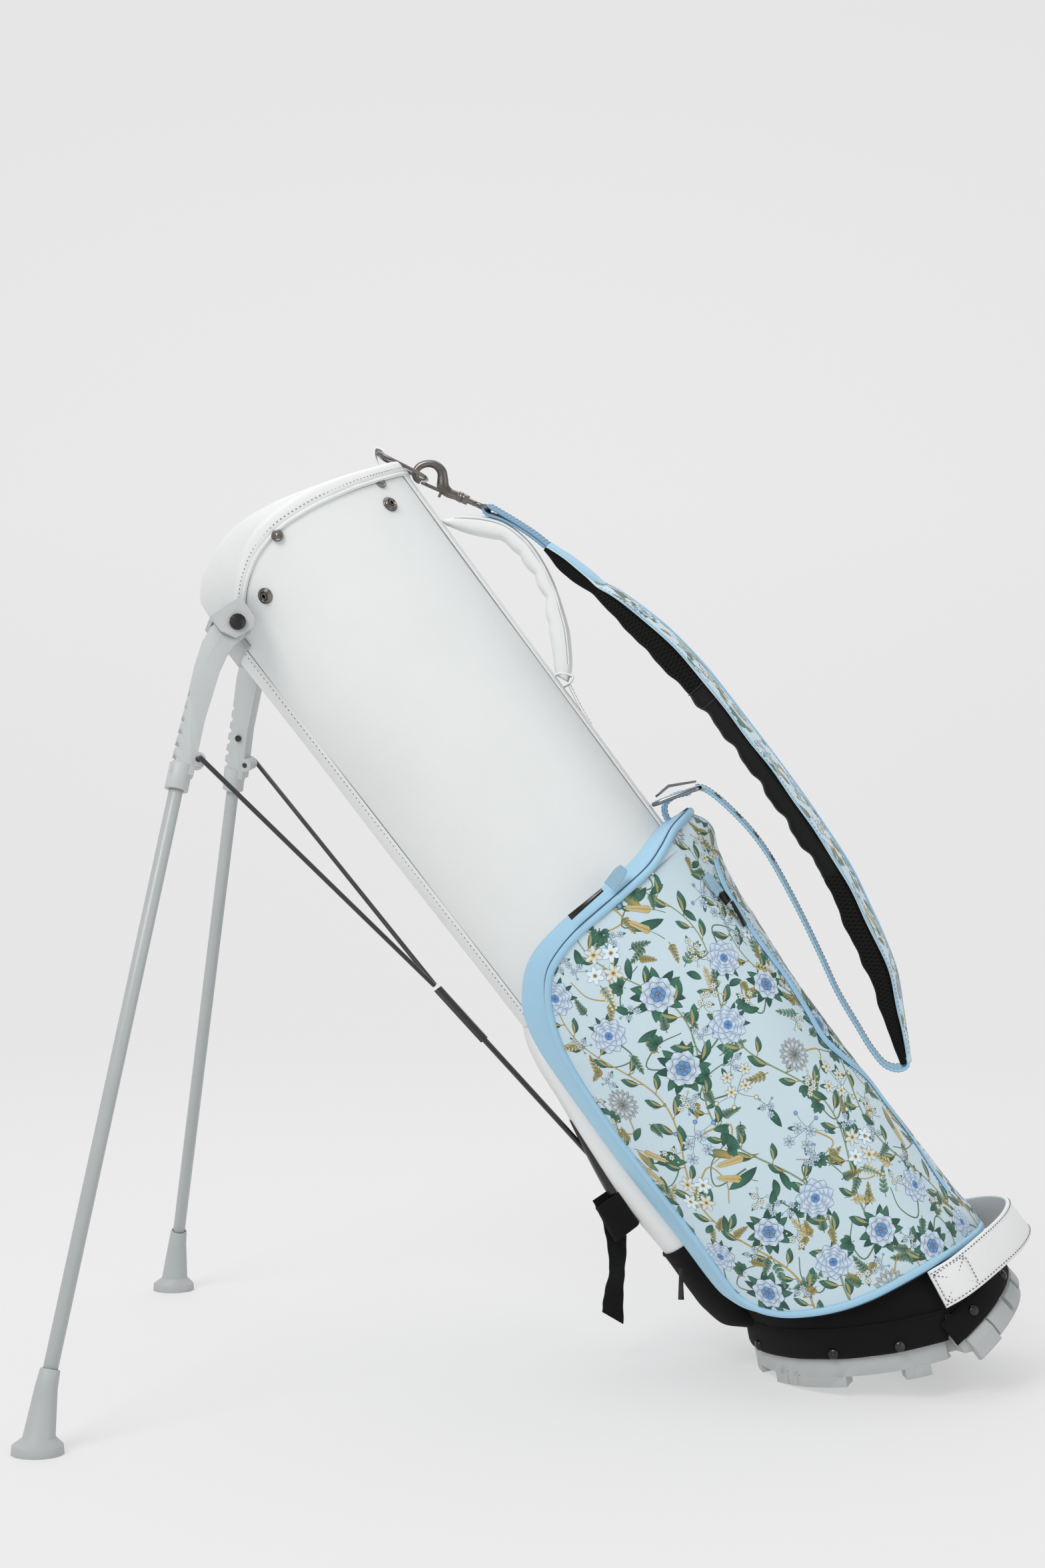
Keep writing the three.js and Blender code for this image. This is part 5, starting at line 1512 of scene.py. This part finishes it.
def build_belly():
    z = np.linspace(190, 431, 90)
    s = Shape().grid(arch(z))
    outward(s.build("belly_channel_skin", WHITE_TRIM, "bag", "white_leather", ["belly_channel"]))
    z = np.linspace(97, 192.5, 60)
    wrinkle = 0.8 * np.sin(z / 5.5) * fade(z, 150, 110)
    s = Shape().grid(arch(z, COVER_HALF, 0.9 + wrinkle[:, None]))
    thicken(outward(s.build("belly_cover", BLACK_CANVAS, "bag", "black_cloth", ["lower_cover"])), 1.0)
    s = cord(Shape(), arch(np.array([192.0]), COVER_HALF, 1.2)[0], 1.5, sides=8, up=(0, 0, 1))
    for y in (-26.5, 26.5):
        zz = np.linspace(122, 188, 40)
        top = -(np.sqrt(tube_radius(zz) ** 2 - y * y) + 0.6 * (channel_top(zz) - tube_radius(zz)) + 1.0)
        path = np.stack([top, y + 0 * zz, zz], -1)
        s.grid(sweep(path, rounded(1.6, 5.0, 0.7, 3), up=(0, 1, 0)), wrap_v=True, caps=True)
    s.build("belly_cover_binding", BLACK_WEB, "bag", "black_cloth")

    # the plastic lip that the rods rest against
    zz = np.linspace(264, 338, 40)
    lip_half = np.interp(zz, (264, 300, 338), (15, 14, 11.5))
    rise = np.interp(zz, (264, 270, 300, 338), (6.2, 6.6, 4.4, 0.8))
    t = np.linspace(0, np.pi, 23)[None]
    y = lip_half[:, None] * np.cos(t)
    n = -(channel_top(zz)[:, None] - 2.0 + (rise[:, None] + 2.0) * np.sin(t) ** 0.7)
    s = Shape().grid(np.stack([n, y, zz[:, None] + 0 * y], -1))
    lip = outward(s.build("rod_lip_skin", BLACK_PLASTIC, "bag", "black_steel", ["rod_lip"]))
    soften(thicken(lip, 2.0, -1), 0.5)

    # webbing keeper folded round the leg strap, and the strap's loose end
    loop = np.array([(-137.5 + n, y, 0.0) for n, y in rounded(27, 34, 5, 5)])
    rows = []
    for h in np.linspace(-18, 18, 16):
        lean = 0.10 * h
        sag = 0.6 * math.sin(h / 6.0)
        rows.append(loop + (lean + sag, 0, 246 + h * 0.95))
    s = Shape().grid(np.array(rows), wrap_v=True)
    keeper = outward(s.build("keeper_webbing", BLACK_WEB, "bag", "black_cloth", ["keeper_loop"]))
    soften(thicken(keeper, 2.2), 0.6)
    count = 70
    path = spline(np.array([(-139, -2, 268), (-143, -3, 246), (-153, -5, 226), (-168, -6, 206),
                            (-181, -3, 193), (-197, 0, 174)], float), count)
    t = tangents(path)
    steps = np.arange(count)
    twist = np.radians(np.interp(steps, (0, 20, 42, 69), (38, 30, 52, 22)))
    across = unit(np.cross(t, -ALONG_Y))
    side = across * np.cos(twist)[:, None] - ALONG_Y * np.sin(twist)[:, None]
    rows = []
    for share in np.linspace(-1, 1, 13):
        cut = fade(steps, 52, 69)[:, None] * t * (share * -6.0)
        ripple = 0.3 * np.sin(steps / 1.7 + share * 3)[:, None] * side * abs(share)
        rows.append(path + side * share * LEG_STRAP_HALF + cut + ripple)
    s = Shape().grid(np.stack(rows, 1))
    tail = s.build("leg_strap_webbing", BLACK_WEB, "leg_strap", "black_cloth", ["leg_strap_end"])
    soften(thicken(tail, 1.7, 0), 0.4)


build_sleeve()
build_lift_loop()
build_belly()


# ---- finer metal and plastic pieces ----
HOOK_AXIS = unit(np.array((0.48, 0.0, -0.877)))
HOOK_UP = np.array((-HOOK_AXIS[2], 0.0, HOOK_AXIS[0]))
HOOK_TOP = np.array((121.0, 0.0, 872.0)) - 4 * HOOK_AXIS - 2.5 * HOOK_UP


def on_hook(along, up):
    return HOOK_TOP + HOOK_AXIS * along + HOOK_UP * up


def build_hook():
    """The snap hook: a bow that swells towards its back and runs on into the barrel of the shank."""
    bow = [(1.0, -2.3), (-3.0, -1.2), (-6.2, 3.0), (-5.6, 9.4), (-0.5, 15.0), (7.0, 17.2), (14.5, 14.2),
           (18.6, 7.6), (21.5, 2.2), (28.0, -0.6), (35.0, -0.3), (41.0, 0.0)]
    count = 90
    path = spline(np.array([on_hook(along, up) for along, up in bow]), count)
    steps = np.linspace(0, 1, count)
    stations = (0, 0.1, 0.35, 0.6, 0.72, 0.86, 1)
    across = np.interp(steps, stations, (2.3, 3.0, 3.1, 3.9, 4.6, 4.2, 4.0))
    deep = np.interp(steps, stations, (2.3, 3.2, 3.4, 4.6, 5.6, 4.3, 4.0))
    t = turns(20)
    section = np.stack([np.cos(t)[None] * across[:, None], np.sin(t)[None] * deep[:, None]], -1)
    s = Shape().grid(sweep(path, section), wrap_v=True, caps=True)
    collar = [(3.6, 0), (4.6, 0.4), (4.8, 1.5), (4.3, 2.2), (4.9, 2.9), (4.9, 4.2), (4.2, 4.9)]
    turned(s, on_hook(36.5, 0), HOOK_AXIS, collar, 24)
    outward(s.build("hook_casting", GUNMETAL, "hook", "gunmetal", ["hook_body"]))


def build_buckle():
    """A flat polished frame, its corners rounded, with a thicker front bar."""
    a, b = np.array((108.5, 0.0, 517.0)), np.array((149.5, 0.0, 504.5))
    along = unit(b - a)
    loop = rounded(np.linalg.norm(b - a), 34.0, 7.0, 7)
    path = (a + b) / 2 + loop[:, :1] * along + loop[:, 1:] * ALONG_Y
    normal = np.cross(along, ALONG_Y)
    bow = 1.6 * np.clip(1 - (loop[:, 0] / 16) ** 2, 0, 1)
    path = path + normal * np.sign(normal[0]) * bow[:, None]
    s = bar(Shape(), path, 4.2, 4.8, 1.6, np.tile(normal, (len(path), 1)), closed=True)
    outward(s.build("buckle_casting", CHROME, "buckle", "chrome", ["buckle_frame"]))


def tape_tab(shape, centre, along, across, normal, long, wide, arch_height):
    """A folded tab of ribbed tape: two layers that open round the pull."""
    share = np.linspace(-1, 1, 14)
    rows = []
    for t in turns(30):
        squeeze = 1 - 0.35 * max(0.0, math.cos(t)) ** 3
        rise = arch_height * math.sin(t) * (1.2 + math.cos(t)) / 2
        point = centre + along * (long / 2 * math.cos(t)) + normal * rise
        rows.append(point + across * (share * wide / 2 * squeeze)[:, None])
    shape.grid(np.array(rows), wrap_u=True)


def build_tabs():
    up = np.array((0.0, 0.0, 1.0))
    s = Shape()
    for sign in (-1, 1):
        normal = polar(1.0, sign * 31.0, 0.0)
        across = np.cross(up, normal)
        at = on_face(np.array(sign * 31.0), np.array(433.0)) + normal * 2.6
        tape_tab(s, at, up, across, normal, 21, 15, 1.7)
    thicken(s.build("main_zip_tabs", BLUE_TAPE, "bag", "blue_trim"), 0.8)
    s = Shape()
    normal = polar(1.0, 68.0, 0.0)
    along = unit(polar(1.0, 68.0 - 90.0, 0.25))
    across = np.cross(normal, along)
    tape_tab(s, polar(124.5, 69.0, 490.0), along, across, normal, 20, 11, 1.6)
    thicken(s.build("side_zip_tab", BLUE_TAPE, "bag", "blue_trim"), 0.8)


def build_heel_ribs():
    """The stepped tread blocks round the rear half of the foot."""
    s = Shape()
    for sign in (-1, 1):
        for angle, low, out in ((9, -11.0, 1.6), (27, -13.0, 1.9), (44, -16.0, 2.2), (59, -19.0, 2.5)):
            angles = sign * angle + np.linspace(-7.0, 7.0, 9)
            rows = []
            for z, grow in ((low, -1.0), (low + 1.4, out), (-5.0, out), (1.0, 0.8), (3.4, -1.2)):
                outer = polar(skirt_radius(max(z, 0.0)) + grow, angles, z)
                inner = polar(skirt_radius(max(z, 0.0)) - 6.0, angles[::-1], z)
                rows.append(np.vstack([outer, inner]))
            s.grid(np.array(rows), wrap_v=True, caps=True)
    ribs = outward(s.build("heel_ribs", DEEP_GREY, "bag", "grey_plastic", flat=True))
    soften(ribs, 0.8)


build_hook()
build_buckle()
build_tabs()
build_heel_ribs()


# ---- hard parts taken from the frame ----
def dress(name, material, edge):
    """A hard part with its corners broken, its finish, and smooth shading across its facets."""
    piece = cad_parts[name]
    mesh = piece.data
    mesh.materials.clear()
    mesh.materials.append(material)
    mesh.polygons.foreach_set("use_smooth", [True] * len(mesh.polygons))
    weld = piece.modifiers.new("weld", "WELD")
    weld.merge_threshold = 0.00002
    soften(piece, edge, 2, 32).modifiers["soft_edges"].harden_normals = True


# part of a piece's name, its material and the size of its broken corners; the first that fits is used
HARD_PARTS = (
    ("base_rear", DEEP_GREY, 1.2), ("base_front", DEEP_GREY, 1.2), ("leg_arm", GREY, 1.6),
    ("foot", DEEP_GREY, 1.2), ("leg_bracket", GREY, 1.5), ("leg_tube", GREY_PAINT, 0.4),
    ("pivot_bolt", DARK_METAL, 0.6), ("arm_screw", DARK_METAL, 0.4), ("rod_pin", BLACK_PAINT, 0.3),
    ("upper_rod", BLACK_PAINT, 0.3), ("lower_rod", BLACK_PAINT, 0.3), ("rod_sleeve", BLACK_PAINT, 0.6),
    ("rod_lip", BLACK_PLASTIC, 1.0), ("hook", GUNMETAL, 0.8), ("swivel_eye", GUNMETAL, 0.6),
    ("top_ring", GUNMETAL, 0.6), ("buckle", CHROME, 0.4), ("zip", DARK_METAL, 0.25),
    ("base_hinge_pin", STEEL, 0.2), ("spine_stay", STEEL, 0.5), ("club_divider", LINING, 1.5),
)
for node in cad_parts:
    fitting = [entry for entry in HARD_PARTS if entry[0] in node and node != "base_sleeve"]
    if fitting:
        dress(node, *fitting[0][1:])


# ---- camera, floor and light ----
def build_camera():
    data = bpy.data.cameras.new("camera")
    data.lens = 50.0
    data.sensor_width = 36.0
    data.clip_end = 30.0
    camera = bpy.data.objects.new("camera", data)
    camera.location = (0.02925, -1.9415, 0.5174)
    camera.rotation_euler = (math.radians(90), 0, math.radians(1.8585))
    bpy.context.scene.collection.objects.link(camera)
    bpy.context.scene.camera = camera


def build_stage():
    """A pale floor that curves up into the backdrop."""
    profile = [(-6.0, 0.0), (2.2, 0.0)]
    for t in np.radians(np.linspace(10, 90, 9)):
        profile.append((2.2 + 1.2 * math.sin(t), 1.2 - 1.2 * math.cos(t)))
    profile.append((3.4, 6.0))
    points, faces = [], []
    for y, z in profile:
        points += [(-7.0, y, z), (7.0, y, z)]
    for i in range(len(profile) - 1):
        faces.append((2 * i, 2 * i + 1, 2 * i + 3, 2 * i + 2))
    mesh = bpy.data.meshes.new("backdrop")
    mesh.from_pydata(points, [], faces)
    mesh.polygons.foreach_set("use_smooth", [True] * len(faces))
    backdrop = bpy.data.objects.new("backdrop", mesh)
    bpy.context.scene.collection.objects.link(backdrop)
    f = Finish("pale_floor")
    place = f.node("ShaderNodeSeparateXYZ", Vector=f.place())
    far = f.remap(place.outputs["Y"], -0.5, 2.4, 0.0, 0.025)
    high = f.remap(place.outputs["Z"], 0.0, 1.2, 0.45, 0.485)
    f.set(Base_Color=(0.36, 0.36, 0.36), Roughness=0.9, Specular_IOR_Level=0.1)
    f.set(Emission_Color=(1, 1, 1), Emission_Strength=f.math("ADD", far, high))
    mesh.materials.append(f.material)


def area_light(name, at, target, size, power, colour=(1, 1, 1)):
    data = bpy.data.lights.new(name, "AREA")
    data.shape = "RECTANGLE"
    data.size, data.size_y = size
    data.energy = power
    data.color = colour
    light = bpy.data.objects.new(name, data)
    light.location = at
    light.rotation_euler = (Vector(target) - Vector(at)).to_track_quat("-Z", "Y").to_euler()
    bpy.context.scene.collection.objects.link(light)


def build_light():
    world = bpy.data.worlds.new("studio")
    world.use_nodes = True
    world.node_tree.nodes["Background"].inputs[0].default_value = (1, 1, 1, 1)
    world.node_tree.nodes["Background"].inputs[1].default_value = 0.55
    bpy.context.scene.world = world
    area_light("key", (-1.6, -2.4, 2.9), (0.0, 0.0, 0.4), (1.8, 1.8), 62.0, (1.0, 0.99, 0.975))
    area_light("fill", (2.6, -1.9, 1.3), (0.0, 0.0, 0.4), (2.0, 2.0), 10.0, (0.96, 0.98, 1.0))
    area_light("top", (0.0, 0.6, 3.0), (0.0, 0.0, 0.3), (2.4, 2.4), 22.0)
    bpy.context.scene.view_settings.view_transform = "Standard"


build_camera()
build_stage()
build_light()
